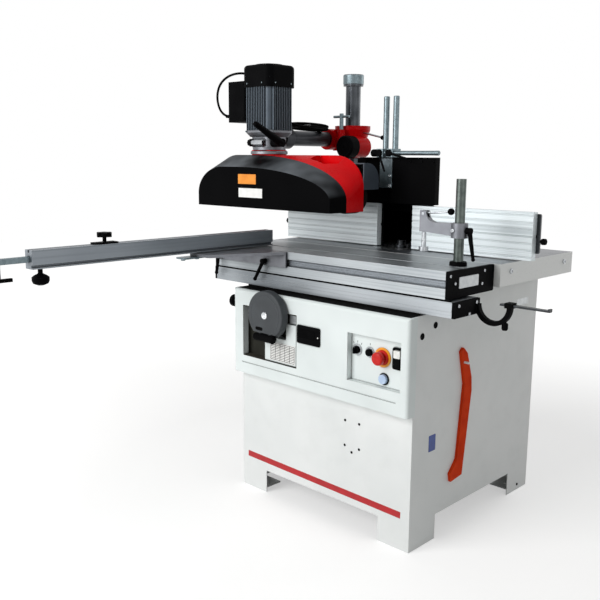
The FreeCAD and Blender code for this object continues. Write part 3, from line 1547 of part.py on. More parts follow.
cabinet_body()
control_fascia()
handwheel_well()
table()
table_rings()
lift_guide()
spindle_quill()
main_motor()
spindle_shaft()
motor_pulley()
drive_belt()
lift_screw()
handwheel()
handwheel_grip()
lock_knob()
push_button("jog_button", jog_x, upper_row_z, button_radius, button_proud)
push_button("reset_button", reset_x, reset_z, reset_radius, button_proud)
emergency_stop()
key_button("start_button", upper_row_z + key_pitch / 2)
key_button("stop_button", upper_row_z - key_pitch / 2)
selector_switch()
push_stick()
carriage_rail()
rail_fittings()
stop_bar()
carriage_beam()
carriage_fittings()
outrigger()
crosscut_fence()
crosscut_stop()
fence_extension()
flip_stop()
clamp_post()
clamp_arm()
clamp_lever()
clamp_handle()
clamp_pad()
fence_plate("fence_plate_left", -1)
fence_plate("fence_plate_right", 1)
fence_hood()
hood_posts()
presser_rod()
feeder_column()
stand_head()
lift_crank()
feeder_arm()
feeder_gearbox()
feeder_motor()
motor_covers()
tilt_lever()
feeder_front_cover()
feeder_body()
feeder_wheel_guard()
feeder_wheels()
cord_run()
cord_coil()
cord_plug()

for name, shape in nodes.items():
    shape.exportStep("parts/" + name + ".step")
print(len(nodes), "nodes")
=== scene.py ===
import math

import bmesh
import bpy
from mathutils import Matrix, Vector


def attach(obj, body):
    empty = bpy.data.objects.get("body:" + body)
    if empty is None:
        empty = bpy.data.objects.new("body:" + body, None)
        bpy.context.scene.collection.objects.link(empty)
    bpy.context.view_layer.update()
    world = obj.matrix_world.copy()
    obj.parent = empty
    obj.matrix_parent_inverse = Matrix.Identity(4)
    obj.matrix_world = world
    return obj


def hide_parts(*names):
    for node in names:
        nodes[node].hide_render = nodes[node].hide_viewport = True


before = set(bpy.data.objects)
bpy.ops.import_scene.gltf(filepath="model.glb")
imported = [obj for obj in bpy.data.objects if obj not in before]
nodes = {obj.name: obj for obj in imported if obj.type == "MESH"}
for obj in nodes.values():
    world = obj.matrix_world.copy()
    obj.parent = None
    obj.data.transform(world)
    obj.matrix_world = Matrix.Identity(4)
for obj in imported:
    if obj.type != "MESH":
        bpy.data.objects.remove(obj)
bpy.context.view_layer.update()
print("frame loaded:", len(nodes), "nodes")

right, left = Vector((1, 0, 0)), Vector((-1, 0, 0))
back, front = Vector((0, 1, 0)), Vector((0, -1, 0))
up, down = Vector((0, 0, 1)), Vector((0, 0, -1))


def mm(x, y, z):
    return Vector((x, y, z)) / 1000


# camera: at the front right corner of the machine, a little above the table
camera = dict(at=(1705.6, -2229, 1220), lens=46.59, sensor=36, yaw=44.12, pitch=10.41, roll=0.36)
yaw, pitch, roll = (math.radians(camera[key]) for key in ("yaw", "pitch", "roll"))
ahead = Vector((-math.sin(yaw) * math.cos(pitch), math.cos(yaw) * math.cos(pitch), -math.sin(pitch)))
level = Vector((math.cos(yaw), math.sin(yaw), 0))
above = level.cross(ahead)
across = level * math.cos(roll) + above * math.sin(roll)
upward = above * math.cos(roll) - level * math.sin(roll)
lensData = bpy.data.cameras.new("photoCamera")
lensData.lens, lensData.sensor_width = camera["lens"], camera["sensor"]
photoCamera = bpy.data.objects.new("photoCamera", lensData)
bpy.context.scene.collection.objects.link(photoCamera)
photoCamera.matrix_world = (Matrix.Translation(mm(*camera["at"]))
                            @ Matrix((across, upward, -ahead)).transposed().to_4x4())
bpy.context.scene.camera = photoCamera
print("camera set")


# finishes
def linear(code, alpha=1):
    parts = [int(code[i:i + 2], 16) / 255 for i in (1, 3, 5)]
    return tuple(c / 12.92 if c < 0.0405 else ((c + 0.055) / 1.055) ** 2.4 for c in parts) + (alpha,)


def addNode(tree, kind, inputs, **settings):
    node = tree.nodes.new(kind)
    for key, value in settings.items():
        setattr(node, key, value)
    for key, value in inputs.items():
        if isinstance(value, bpy.types.NodeSocket):
            tree.links.new(value, node.inputs[key])
        else:
            node.inputs[key].default_value = value
    return node


noise, cells = "ShaderNodeTexNoise", "ShaderNodeTexVoronoi"


def makeFinish(name, base, tint, rough, patchMm=120, grainMm=1.5, deepMm=0.03, edge=None, edgeMm=1.2,
               stretch=(1, 1, 1), patchKind=noise, grainKind=noise, lines=None, dustAndTopShading=None, sidePaint=None,
               creviceShade=None, **sockets):
    material = bpy.data.materials.new(name)
    material.use_nodes = True
    tree = material.node_tree
    tree.nodes.clear()

    def mixed(share, first, second):
        return addNode(tree, "ShaderNodeMix", {0: share, 6: first, 7: second}, data_type="RGBA").outputs[2]

    spot = addNode(tree, "ShaderNodeTexCoord", {}).outputs["Object"]
    facing = addNode(tree, "ShaderNodeNewGeometry", {}).outputs["Normal"]
    resting = addNode(tree, "ShaderNodeTexCoord", {}).outputs["Normal"]
    along = addNode(tree, "ShaderNodeMapping", {"Vector": spot, "Scale": stretch}).outputs[0]
    patch = addNode(tree, patchKind, {"Vector": spot, "Scale": 1000 / patchMm})
    patchOut = patch.outputs["Color"] if patchKind == cells else patch.outputs[0]
    share = addNode(tree, "ShaderNodeMapRange", {0: patchOut, 1: 0.3, 2: 0.7}).outputs[0]
    grain = addNode(tree, grainKind, {"Vector": along, "Scale": 1000 / grainMm}).outputs[0]
    colour = mixed(share, linear(base), linear(tint))
    height = grain
    if lines:                                          # drawn, ground or scuffed lines along the stretch
        code, spacing, amount = lines
        strand = addNode(tree, noise, {"Vector": along, "Scale": 1000 / spacing, "Detail": 3}).outputs[0]
        mark = addNode(tree, "ShaderNodeMapRange", {0: strand, 1: 0.5, 2: 0.72, 4: amount}).outputs[0]
        colour = mixed(mark, colour, linear(code))
        height = addNode(tree, "ShaderNodeMath", {0: grain, 1: mark}, operation="SUBTRACT").outputs[0]
    rounded = addNode(tree, "ShaderNodeBevel", {"Radius": edgeMm / 1000}, samples=3).outputs[0]
    if edge:                                           # paint thinned and polished along the edges
        turn = addNode(tree, "ShaderNodeVectorMath", {0: rounded, 1: facing}, operation="DOT_PRODUCT")
        worn = addNode(tree, "ShaderNodeMapRange", {0: turn.outputs["Value"], 1: 0.985, 2: 0.86})
        torn = addNode(tree, "ShaderNodeMath", {0: worn.outputs[0], 1: share}, operation="MULTIPLY")
        colour = mixed(torn.outputs[0], colour, linear(edge))
    level = addNode(tree, "ShaderNodeSeparateXYZ", {0: resting}).outputs["Z"]
    if dustAndTopShading:                                           # fine sawdust on faces that look up; on the carriage this mask is painted shade on the top faces, on the feeder's front cover a painted highlight
        code, amount, tilted = dustAndTopShading
        upFacing = addNode(tree, "ShaderNodeMapRange", {0: level, 1: tilted, 2: 1, 4: amount}).outputs[0]
        upFaceShare = addNode(tree, "ShaderNodeMath", {0: upFacing, 1: share}, operation="MULTIPLY").outputs[0]
        colour = mixed(upFaceShare, colour, linear(code))
    if sidePaint:                                      # paint on every face but the ground top
        bare = addNode(tree, "ShaderNodeMapRange", {0: level, 1: 0.4, 2: 0.6}).outputs[0]
        colour = mixed(bare, linear(sidePaint), colour)
        shine = sockets.pop("Metallic")
        sockets["Metallic"] = addNode(tree, "ShaderNodeMapRange", {0: bare, 4: shine}).outputs[0]
    if creviceShade:                                          # painted shade: darkens slots and inner corners where they are occluded
        code, reachMm = creviceShade
        exposed = addNode(tree, "ShaderNodeAmbientOcclusion", {"Distance": reachMm / 1000}, samples=6)
        shut = addNode(tree, "ShaderNodeMapRange", {0: exposed.outputs["AO"], 1: 0.9, 2: 0.45, 4: 0.85}).outputs[0]
        colour = mixed(shut, colour, linear(code))
    gloss = addNode(tree, "ShaderNodeMapRange", {0: grain, 1: 0.25, 2: 0.75, 3: rough[0], 4: rough[1]}).outputs[0]
    bump = addNode(tree, "ShaderNodeBump", {"Height": height, "Distance": deepMm / 1000, "Strength": 0.6,
                                            "Normal": rounded}).outputs[0]
    shader = addNode(tree, "ShaderNodeBsdfPrincipled",
                     {"Base Color": colour, "Roughness": gloss, "Normal": bump, **sockets})
    addNode(tree, "ShaderNodeOutputMaterial", {"Surface": shader.outputs[0]})
    return material


dull = {"Specular IOR Level": 0.015}                   # matt blacks that stay dark beside a white wall
softShine = {"Specular IOR Level": 0.25}
# real grain, drawn lines and zinc crystals are well under a millimetre: drawn coarser here, so that they show
finishes = dict(
    # powder coat on folded sheet: even near-white with a faint orange peel, thinner on the folds
    cabinetPaint=makeFinish("whitePowderCoat", "#e7e9e8", "#dee1e0", (0.36, 0.52), 260, 4.5, 0.08, "#f4f5f4",
                            lines=("#c9cbc9", 60, 0.12), **softShine),
    # moulded ABS: cooler and flatter than the painted sheet, with a sand-blasted grain and painted shade along its
    # groove and inner corners
    fasciaPlastic=makeFinish("mouldedWhiteAbs", "#e2e9e8", "#d8dfde", (0.42, 0.56), 190, 1.6, 0.05, "#f2f6f5",
                             grainKind=cells, creviceShade=("#6f7573", 6), **softShine),
    # dark moulding behind the handwheel: swallows the light so the wheel stands out
    wellPlastic=makeFinish("darkWellMoulding", "#34342f", "#282824", (0.5, 0.66), 90, 1.6, 0.06, grainKind=cells,
                           dustAndTopShading=("#6f6a60", 0.35, 0.75), **dull),
    # ground cast iron: mid grey, long grinding lines, painted on its sides
    groundIron=makeFinish("groundCastIron", "#64676d", "#52555b", (0.24, 0.42), 240, 3.5, 0.03, "#c9cbcd",
                          stretch=(0.01, 1, 1), lines=("#4c4f55", 5, 0.4), sidePaint="#e3e5e3", Metallic=0.85),
    # turned steel: bright rings and a clean shine
    turnedSteel=makeFinish("turnedSteel", "#c0c3c6", "#9ea2a6", (0.18, 0.34), 30, 1.4, 0.02, "#e2e4e5",
                           stretch=(1, 1, 0.2), lines=("#7c8084", 3, 0.4), Metallic=1.0),
    # zinc plate: cool grey with visible crystals
    zincPlate=makeFinish("zincPlatedSteel", "#738085", "#667378", (0.28, 0.46), 10, 1.6, 0.02, "#bcc7ca",
                         patchKind=cells, lines=("#66747a", 14, 0.2), Metallic=0.85),
    # dark ground bar of the column: streaks along its length
    columnSteel=makeFinish("darkGroundBar", "#5a5d61", "#383b3f", (0.22, 0.38), 90, 1.4, 0.02, "#84878a",
                           stretch=(1, 1, 0.04), lines=("#25272a", 6, 0.6), Metallic=0.9),
    # oiled bright bar of the clamp: grey-green, streaked upright
    clampSteel=makeFinish("oiledBrightBar", "#5c635f", "#474e4b", (0.26, 0.42), 18, 1.4, 0.02, "#a3aca7",
                          stretch=(1, 1, 0.04), lines=("#424745", 6, 0.4), Metallic=0.85),
    # extrusion of the carriage: drawn lines, painted shade on its top faces and in its slots
    carriageAluminium=makeFinish("drawnAluminiumShadedTop", "#bcc1c4", "#8e9498", (0.28, 0.46), 420, 2.6, 0.03, "#eceeef",
                                 stretch=(0.006, 1, 1), lines=("#6a7075", 6, 0.45), dustAndTopShading=("#3f4347", 0.9, 0.75),
                                 creviceShade=("#2e3236", 16), Metallic=0.55, **softShine),
    # rail under the carriage: the same extrusion without the carriage's shaded top, with painted shade in its slots
    aluminiumAcross=makeFinish("drawnAluminiumAcross", "#b3b8bc", "#757b80", (0.28, 0.46), 420, 2.6, 0.03, "#eceeef",
                               stretch=(0.006, 1, 1), lines=("#71777c", 6, 0.45), creviceShade=("#2e3236", 16),
                               Metallic=0.55, **softShine),
    # ribbed fence plates: paler, satin anodised, with painted shade in their grooves
    plateAluminium=makeFinish("satinAnodisedPlate", "#e4ecee", "#d8e1e4", (0.34, 0.5), 240, 2.4, 0.03, "#eef2f3",
                              stretch=(0.006, 1, 1), lines=("#98a4a8", 5.5, 0.5), creviceShade=("#7c878b", 6),
                              Metallic=0.3),
    # crosscut fence and outrigger: darker mill finish, drawn front to back, with painted shade in its slots
    aluminiumDeep=makeFinish("millFinishAluminium", "#898f95", "#767c82", (0.3, 0.46), 380, 2.6, 0.03, "#dfe2e4",
                             stretch=(1, 0.006, 1), lines=("#5b6167", 6, 0.45), creviceShade=("#2e3236", 12), Metallic=0.8),
    # oiled arbor between the fences: nearly black with a thin shine
    arborSteel=makeFinish("oiledArborSteel", "#3a3c3f", "#2a2c2e", (0.22, 0.36), 20, 1.4, 0.02, "#6a6d70",
                          stretch=(1, 1, 0.2), lines=("#1c1e20", 4, 0.4), Metallic=0.9),
    # satin black sheet paint of the hood
    hoodPaint=makeFinish("satinBlackSheet", "#060607", "#040404", (0.36, 0.54), 160, 3.0, 0.05, "#2c2d30",
                         dustAndTopShading=("#5a5650", 0.3, 0.75), **dull),
    # glass-filled nylon: black with a grained skin
    blackPlastic=makeFinish("grainedBlackNylon", "#0c0c0d", "#070708", (0.42, 0.6), 60, 1.4, 0.06, "#2b2c2e",
                            grainKind=cells, **dull),
    # moulded handwheel: mid grey, slightly polished on the rim
    wheelPlastic=makeFinish("greyHandwheelMoulding", "#43474a", "#373a3d", (0.36, 0.54), 80, 1.4, 0.05, "#7b8084",
                            grainKind=cells, **softShine),
    # rough painted castings inside the cabinet
    driveIron=makeFinish("paintedRoughCasting", "#4f5355", "#3b3e40", (0.46, 0.66), 45, 3.2, 0.3, "#757a7c"),
    # rubber of the belt and seals: dull black, dusted
    beltRubber=makeFinish("blackRubber", "#131313", "#0c0c0c", (0.66, 0.84), 20, 2.0, 0.2, stretch=(1, 1, 4), **dull),
    # enamel on the feeder castings: deep red with a soft gloss
    feederRed=makeFinish("redEnamel", "#dc0810", "#c2060d", (0.24, 0.36), 150, 6.0, 0.05, "#d8363b",
                         **{"Coat Weight": 0.03, "Coat Roughness": 0.1, "Specular IOR Level": 0.05}),
    # satin black of the feeder's front cover, greyer on its edges, with a painted grey highlight on its up-facing
    # faces
    feederBlack=makeFinish("satinBlackCover", "#060607", "#040405", (0.32, 0.46), 140, 3.0, 0.04, "#34383d",
                           dustAndTopShading=("#72777c", 1, 0.3), **dull),
    # slate enamel of the wheel guard
    feederGrey=makeFinish("slateEnamel", "#434b54", "#363d45", (0.32, 0.46), 120, 3.0, 0.05, "#59616a", **softShine),
    # painted die casting of the motor: blue grey, with painted shade between its fins
    motorGrey=makeFinish("blueGreyCasting", "#555f68", "#49525b", (0.36, 0.52), 70, 2.4, 0.1, "#8f9aa3",
                         creviceShade=("#12161a", 9), Metallic=0.2, **softShine),
    # bare die casting: dull silver with a sandy skin and painted shade in its hollows
    castAlloy=makeFinish("bareDieCasting", "#7b7d82", "#66686d", (0.34, 0.52), 60, 2.4, 0.14, "#cdd0d2",
                         creviceShade=("#1e2022", 22), Metallic=0.8),
    # dark casting and tube of the feeder's stand, with painted shade in its hollows
    standAlloy=makeFinish("darkStandCasting", "#4a4c50", "#393b3f", (0.34, 0.5), 60, 2.4, 0.14, "#8a8d90",
                          creviceShade=("#0e0f10", 26), Metallic=0.8),
    # soft tread of the feed wheels
    wheelRubber=makeFinish("treadRubber", "#232220", "#181716", (0.66, 0.84), 30, 3.0, 0.3,
                           dustAndTopShading=("#6a5f50", 0.3, 0.75), **dull),
    # sheath of the lead
    leadRubber=makeFinish("leadSheath", "#101010", "#0a0a0a", (0.4, 0.56), 40, 1.6, 0.06, **dull),
    # gloss caps of the switches
    stopRed=makeFinish("redSwitchCap", "#d2211b", "#bb1812", (0.2, 0.32), 18, 1.4, 0.03, "#e8625a", **softShine),
    resetBlue=makeFinish("paleBlueSwitchCap", "#b9cbe2", "#a4bbda", (0.2, 0.34), 14, 1.4, 0.03, "#dfe8f4"),
    startWhite=makeFinish("whiteSwitchCap", "#ecece8", "#dcdcd6", (0.2, 0.32), 14, 1.4, 0.03),
    ringYellow=makeFinish("amberRing", "#f3a11c", "#e48d10", (0.3, 0.44), 14, 1.2, 0.04),
    # chrome of bezels and caps
    chrome=makeFinish("polishedChrome", "#dfe2e4", "#c9cdd0", (0.08, 0.16), 18, 1.2, 0.01, Metallic=1.0),
    # push stick: moulded orange-red, faded a little
    stickOrange=makeFinish("orangeRedMoulding", "#dd451d", "#c93614", (0.38, 0.54), 70, 1.8, 0.06, "#ea6a48",
                           grainKind=cells, lines=("#a6240e", 40, 0.3), **dull),
    # bare plates where a print would sit
    plateWhite=makeFinish("blankWhitePlate", "#f0f0ee", "#e4e4e1", (0.3, 0.42), 22, 1.0, 0.01),
    plateBlue=makeFinish("blankBluePlate", "#2b4896", "#243e86", (0.3, 0.42), 22, 1.0, 0.01),
    plateOrange=makeFinish("blankOrangePlate", "#f0962a", "#e0851c", (0.3, 0.42), 22, 1.0, 0.01),
    plateGrey=makeFinish("blankAluminiumPlate", "#c6c9ca", "#b3b7b9", (0.28, 0.42), 16, 1.0, 0.01,
                         stretch=(0.1, 1, 1), Metallic=0.6),
    # film of the front stripe: flat deep red
    stripeRed=makeFinish("redStripeFilm", "#b80f19", "#a80c14", (0.28, 0.4), 40, 1.4, 0.01),
    # glass of the readout: black with a sharp shine
    readoutGlass=makeFinish("darkReadoutGlass", "#030304", "#070708", (0.1, 0.2), 30, 1.4, 0.005, **dull),
)

nodeFinish = dict(
    cabinetPaint="cabinet_body", fasciaPlastic="control_fascia", wellPlastic="handwheel_well",
    groundIron="table", hoodPaint="fence_hood", columnSteel="feeder_column", clampSteel="clamp_post",
    beltRubber="drive_belt", zincPlate="hood_posts presser_rod fence_extension lift_crank",
    arborSteel="spindle_shaft stop_bar", turnedSteel="table_rings motor_pulley lift_screw clamp_handle clamp_pad",
    aluminiumAcross="carriage_rail", carriageAluminium="carriage_beam", aluminiumDeep="crosscut_fence",
    plateAluminium="fence_plate_left fence_plate_right",
    blackPlastic="rail_fittings handwheel_grip lock_knob selector_switch jog_button stop_button carriage_fittings "
                 "clamp_lever crosscut_stop flip_stop motor_covers tilt_lever",
    wheelPlastic="handwheel", driveIron="lift_guide spindle_quill main_motor",
    feederRed="stand_head feeder_body", feederBlack="feeder_front_cover", feederGrey="feeder_wheel_guard",
    motorGrey="feeder_motor", castAlloy="clamp_arm feeder_gearbox outrigger", standAlloy="feeder_arm",
    wheelRubber="feeder_wheel_1 feeder_wheel_2 feeder_wheel_3 feeder_wheel_4",
    leadRubber="cord_run cord_coil cord_plug", stopRed="emergency_stop", resetBlue="reset_button",
    startWhite="start_button", stickOrange="push_stick")
for finish, names in nodeFinish.items():
    for name in names.split():
        nodes[name].data.materials.clear()
        nodes[name].data.materials.append(finishes[finish])
print("finishes:", len(finishes))


# shapes
lobeDepth = 0.09                                       # of a star knob's radius
crease = math.radians(32)                              # flatter edges are shaded smooth


def revolve(bm, profile, at, axis, steps=32, lobes=0, hexFrom=99, closed=False):
    turn = Vector(axis).to_track_quat("Z", "Y").to_matrix()
    rings = []
    for index, (radius, height) in enumerate(profile):
        ring = []
        for k in range(steps):
            angle = 2 * math.pi * k / steps
            reach = radius * (1 + lobeDepth * math.cos(lobes * angle)) if lobes else radius
            if index >= hexFrom:
                reach *= math.cos(math.pi / 6) / math.cos(angle % (math.pi / 3) - math.pi / 6)
            ring.append(bm.verts.new(at + turn @ mm(reach * math.cos(angle), reach * math.sin(angle), height)))
        rings.append(ring)
    pairs = list(zip(rings, rings[1:])) + ([(rings[-1], rings[0])] if closed else [])
    for low, high in pairs:
        for k in range(steps):
            n = (k + 1) % steps
            bm.faces.new((low[k], low[n], high[n], high[k]))
    if not closed:
        bm.faces.new(list(reversed(rings[0])))
        bm.faces.new(rings[-1])


def roundRect(width, height, corner, steps=5):
    outline = []
    for k, (sx, sy) in enumerate(((1, 1), (-1, 1), (-1, -1), (1, -1))):
        for i in range(steps + 1):
            angle = math.pi / 2 * (k + i / steps)
            outline.append((sx * (width / 2 - corner) + corner * math.cos(angle),
                            sy * (height / 2 - corner) + corner * math.sin(angle)))
    return outline


def slab(bm, outline, at, along, side, thick, edge=0.4):
    normal = along.cross(side)
    middle = Vector((sum(a for a, b in outline), sum(b for a, b in outline))) / len(outline)
    layers = []
    for inset, height in ((0, 0), (0, thick - edge), (edge, thick)):
        layer = []
        for point in outline:
            a, b = Vector(point) + (middle - Vector(point)).normalized() * inset
            layer.append(bm.verts.new(at + (along * a + side * b + normal * height) / 1000))
        layers.append(layer)
    for low, high in zip(layers, layers[1:]):
        for k in range(len(outline)):
            n = (k + 1) % len(outline)
            bm.faces.new((low[k], low[n], high[n], high[k]))
    bm.faces.new(list(reversed(layers[0])))
    bm.faces.new(layers[-1])


def band(bm, outer, inner, at, along, side, thick):
    normal = along.cross(side)
    rings = [[bm.verts.new(at + (along * a + side * b + normal * height) / 1000) for a, b in outline]
             for outline, height in ((outer, 0), (outer, thick), (inner, thick), (inner, 0))]
    for low, high in zip(rings, rings[1:] + rings[:1]):
        for k in range(len(outer)):
            n = (k + 1) % len(outer)
            bm.faces.new((low[k], low[n], high[n], high[k]))


def rod(bm, start, end, radius, tipRadius=None):
    length = (end - start).length * 1000
    tip = tipRadius or radius
    soft, softTip = radius * 0.3, tip * 0.3
    revolve(bm, [(radius - soft, 0), (radius, soft), (tip, length - softTip), (tip - softTip, length)], start,
            end - start, 20)


def ball(bm, at, radius):
    arcs = 12
    revolve(bm, [(radius * math.sin(math.pi * (k + 0.5) / arcs), -radius * math.cos(math.pi * (k + 0.5) / arcs))
                 for k in range(arcs)], at, up, 24)


def socketScrew(bm, at, axis, radius, tall):
    revolve(bm, [(radius * 0.96, -0.5), (radius, 0.3), (radius, tall * 0.75), (radius * 0.86, tall),
                 (radius * 0.52, tall), (radius * 0.5, tall * 0.35)], at, axis, 24, hexFrom=4)


def piece(name, bm, finish, body):
    bmesh.ops.recalc_face_normals(bm, faces=bm.faces)
    mesh = bpy.data.meshes.new(name)
    bm.to_mesh(mesh)
    bm.free()
    mesh.shade_smooth()
    mesh.set_sharp_from_angle(angle=crease)
    mesh.materials.append(finishes[finish])
    made = bpy.data.objects.new(name, mesh)
    bpy.context.scene.collection.objects.link(made)
    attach(made, body)


# lead of the feeder motor: rises from the gland, passes behind the motor and lies coiled on the arm
lead = dict(gland=(-646.5, -195, 1375), diameter=9, length=2.76, coil=(-462, 42, 1338.68), tilt=-5, radius=80,
            step=4.8, halfTurns=4, perHalf=8, tail=9, approach=38, leadIn=(-19, -40, -3),
            steps=((-30, 0, 0), (-29, -6, 24), (-4, -10, 38), (19, -13, 35), (29, -6, 30), (34, 10, 23),
                   (31, 26, 10), (19, 37, -4), (10, 38, -15), (6, 30, -29), (8, 15, -38), (19, 4, -37),
                   (31, 1, -31), (37, 0, -24), (37, 4, -14)))
tilt = math.radians(lead["tilt"])
coilSide = Vector((0, math.cos(tilt), math.sin(tilt)))
coilUp = Vector((0, -math.sin(tilt), math.cos(tilt)))


def inCoil(u, v, w):
    return mm(*lead["coil"]) + (right * u + coilSide * v + coilUp * w) / 1000


route = [mm(*lead["gland"])]
for step in lead["steps"]:
    route.append(route[-1] + mm(*step))
coilStart = inCoil(lead["radius"], -lead["tail"], -lead["step"])
approach = coilStart - coilSide * lead["approach"] / 1000
route += [approach + mm(*lead["leadIn"]), approach, coilStart]
inward = [lead["radius"] - lead["step"] * k for k in range(lead["halfTurns"])]
place, layer, side, perHalf = lead["radius"], -lead["step"], -1, lead["perHalf"]
for radius in inward + [inward[-1] - lead["step"]] + inward[::-1]:
    rise = 2 * lead["step"] if radius < inward[-1] else 0
    middle = place + side * radius
    for k in range(perHalf):
        angle = math.pi * (k + 0.5) / perHalf
        reach = radius / math.cos(math.pi / 2 / perHalf)
        route.append(inCoil(middle - side * reach * math.cos(angle), -side * reach * math.sin(angle),
                            layer + rise * (k + 0.5) / perHalf))
    place, layer, side = place + 2 * side * radius, layer + rise, -side
route.append(inCoil(place, -lead["tail"], layer))
leadCurve = bpy.data.curves.new("motorLead", "CURVE")
leadCurve.dimensions = "3D"
leadCurve.bevel_depth = lead["diameter"] / 2000
leadCurve.bevel_resolution = 3
leadCurve.use_fill_caps = True
spline = leadCurve.splines.new("NURBS")
spline.points.add(len(route) - 1)
for point, spot in zip(spline.points, route):
    point.co = (*spot, 1)
spline.order_u = 3
spline.use_endpoint_u = True
spline.resolution_u = 5
leadCurve.materials.append(finishes["leadRubber"])
motorLead = bpy.data.objects.new("motorLead", leadCurve)
bpy.context.scene.collection.objects.link(motorLead)
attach(motorLead, "feeder_arm")
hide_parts("cord_run", "cord_coil")

relief = dict(at=lead["gland"], reach=28, wide=8.2, thin=5.2, ribs=7)
bm = bmesh.new()
sleeve = [(relief["wide"] - 1, 0)]
for k in range(relief["ribs"]):
    share = k / (relief["ribs"] - 1)
    radius = relief["wide"] + (relief["thin"] - relief["wide"]) * share
    spot = 1 + share * (relief["reach"] - 4)
    sleeve += [(radius, spot), (radius, spot + 1.8), (radius - 0.9, spot + 2), (radius - 1, spot + 3)]
revolve(bm, sleeve, mm(*relief["at"]), left, 24)
piece("strainRelief", bm, "blackPlastic", "feeder_arm")

tie = dict(middle=70.4, wide=31, tall=20, strap=1.4, breadth=7)
bm = bmesh.new()
band(bm, roundRect(tie["wide"] + 2 * tie["strap"], tie["tall"] + 2 * tie["strap"], 8),
     roundRect(tie["wide"], tie["tall"], 7), inCoil(-tie["breadth"] / 2, tie["middle"], 0), coilSide, coilUp,
     tie["breadth"])
piece("coilTie", bm, "beltRubber", "feeder_arm")
print("lead laid:", len(route), "points")

# cabinet front, right side and back
cabinet = dict(front=-373, back=373, side=385)
stripe = dict(start=(-358, 127), end=(350, 116), tall=22, thick=0.5)
bm = bmesh.new()
span = mm(stripe["end"][0], 0, stripe["end"][1]) - mm(stripe["start"][0], 0, stripe["start"][1])
middle = mm((stripe["start"][0] + stripe["end"][0]) / 2, cabinet["front"],
            (stripe["start"][1] + stripe["end"][1]) / 2)
slab(bm, roundRect(span.length * 1000, stripe["tall"], 0.8), middle, span.normalized(),
     span.normalized().cross(back), stripe["thick"], 0.2)
piece("frontStripe", bm, "stripeRed", "base")

plugs = dict(front=((116, 372), (176, 372), (116, 286), (177, 286), (146, 268)), small=4.5,
             side=((-338, 692, 10.5), (-270, 717, 10.5), (305, 21, 5)))
bm = bmesh.new()
for x, z in plugs["front"]:
    r = plugs["small"]
    revolve(bm, [(r, -0.5), (r, 0.7), (r * 0.8, 1.3), (r * 0.5, 1.3), (r * 0.4, 0.4)],
            mm(x, cabinet["front"], z), front, 20)
for y, z, r in plugs["side"]:
    revolve(bm, [(r, -0.5), (r, 1), (r * 0.85, 2), (r * 0.45, 2), (r * 0.4, 0.8)],
            mm(cabinet["side"], y, z), right, 24)
piece("holePlugs", bm, "blackPlastic", "base")

sidePlates = dict(rating=(266, 722, 76, 24), square=(-265, 336, 37, 54))
bm = bmesh.new()
y, z, wide, tall = sidePlates["rating"]
slab(bm, roundRect(wide, tall, 2), mm(cabinet["side"], y, z), back, up, 0.8)
piece("ratingPlate", bm, "plateGrey", "base")
bm = bmesh.new()
y, z, wide, tall = sidePlates["square"]
slab(bm, roundRect(wide, tall, 3), mm(cabinet["side"], y, z), back, up, 0.6)
piece("blankSidePlate", bm, "plateBlue", "base")

# black rubber strip on the shelf under the rail: painted shade standing in for the dark gap between the fascia and
# the rail
shadeStrip = dict(half=384, front=-397, back=-336, shelf=757, thick=1.2, lip=7)
bm = bmesh.new()
slab(bm, roundRect(2 * shadeStrip["half"], shadeStrip["back"] - shadeStrip["front"], 2),
     mm(0, (shadeStrip["front"] + shadeStrip["back"]) / 2, shadeStrip["shelf"]), right, back, shadeStrip["thick"], 0.3)
slab(bm, roundRect(2 * shadeStrip["half"] - 6, 8, 2), mm(0, shadeStrip["back"] - 10, shadeStrip["shelf"]), right, back, shadeStrip["lip"], 1)
piece("paintedShadeStrip", bm, "beltRubber", "base")

rearPanel = dict(wide=460, tall=380, z=420, thick=2, slats=9, slatWide=300, slatTall=10, slatPitch=22, screws=3,
                 screwInset=16)
panelFace = cabinet["back"] + rearPanel["thick"]
bm = bmesh.new()
slab(bm, roundRect(rearPanel["wide"], rearPanel["tall"], 12), mm(0, cabinet["back"], rearPanel["z"]), left, up,
     rearPanel["thick"], 0.8)
for k in range(rearPanel["slats"]):
    z = rearPanel["z"] + (k - rearPanel["slats"] / 2 + 0.5) * rearPanel["slatPitch"]
    slab(bm, roundRect(rearPanel["slatWide"], rearPanel["slatTall"], 4.9), mm(0, panelFace, z), left, up, 5, 3)
piece("rearPanel", bm, "cabinetPaint", "base")
bm = bmesh.new()
for sx in (-1, 1):
    for k in range(rearPanel["screws"]):
        x = sx * (rearPanel["wide"] / 2 - rearPanel["screwInset"])
        z = rearPanel["z"] + (k - 1) * (rearPanel["tall"] / 2 - rearPanel["screwInset"])
        socketScrew(bm, mm(x, panelFace, z), back, 5, 3.5)
piece("panelScrews", bm, "turnedSteel", "base")

tableScrews = dict(end=500, spots=((-37, 873), (326, 871)), wide=8, tall=5)
bm = bmesh.new()
for sx in (-1, 1):
    for y, z in tableScrews["spots"]:
        socketScrew(bm, mm(sx * tableScrews["end"], y, z), right * sx, tableScrews["wide"], tableScrews["tall"])
piece("tableEndScrews", bm, "turnedSteel", "base")
print("cabinet pieces made")

# fascia: inner panel with its chart, readout, rings and frames round the buttons
fascia = dict(face=-411, pocket=-389)
inner = dict(floor=-379, thick=28, cheek=(-337.7, -399.5, 609.5, 20, 178),
             outline=((-232, 519), (-76, 519), (-76, 662), (-125, 662), (-125, 605), (-232, 605)))
bm = bmesh.new()
slab(bm, inner["outline"], mm(0, inner["floor"], 0), right, up, inner["thick"], 1.5)
piece("wellInsert", bm, "fasciaPlastic", "base")
x, y, z, deep, tall = inner["cheek"]
bm = bmesh.new()
slab(bm, roundRect(deep, tall, 1), mm(x, y, z), back, up, 0.6, 0.2)
piece("wellCheek", bm, "fasciaPlastic", "base")

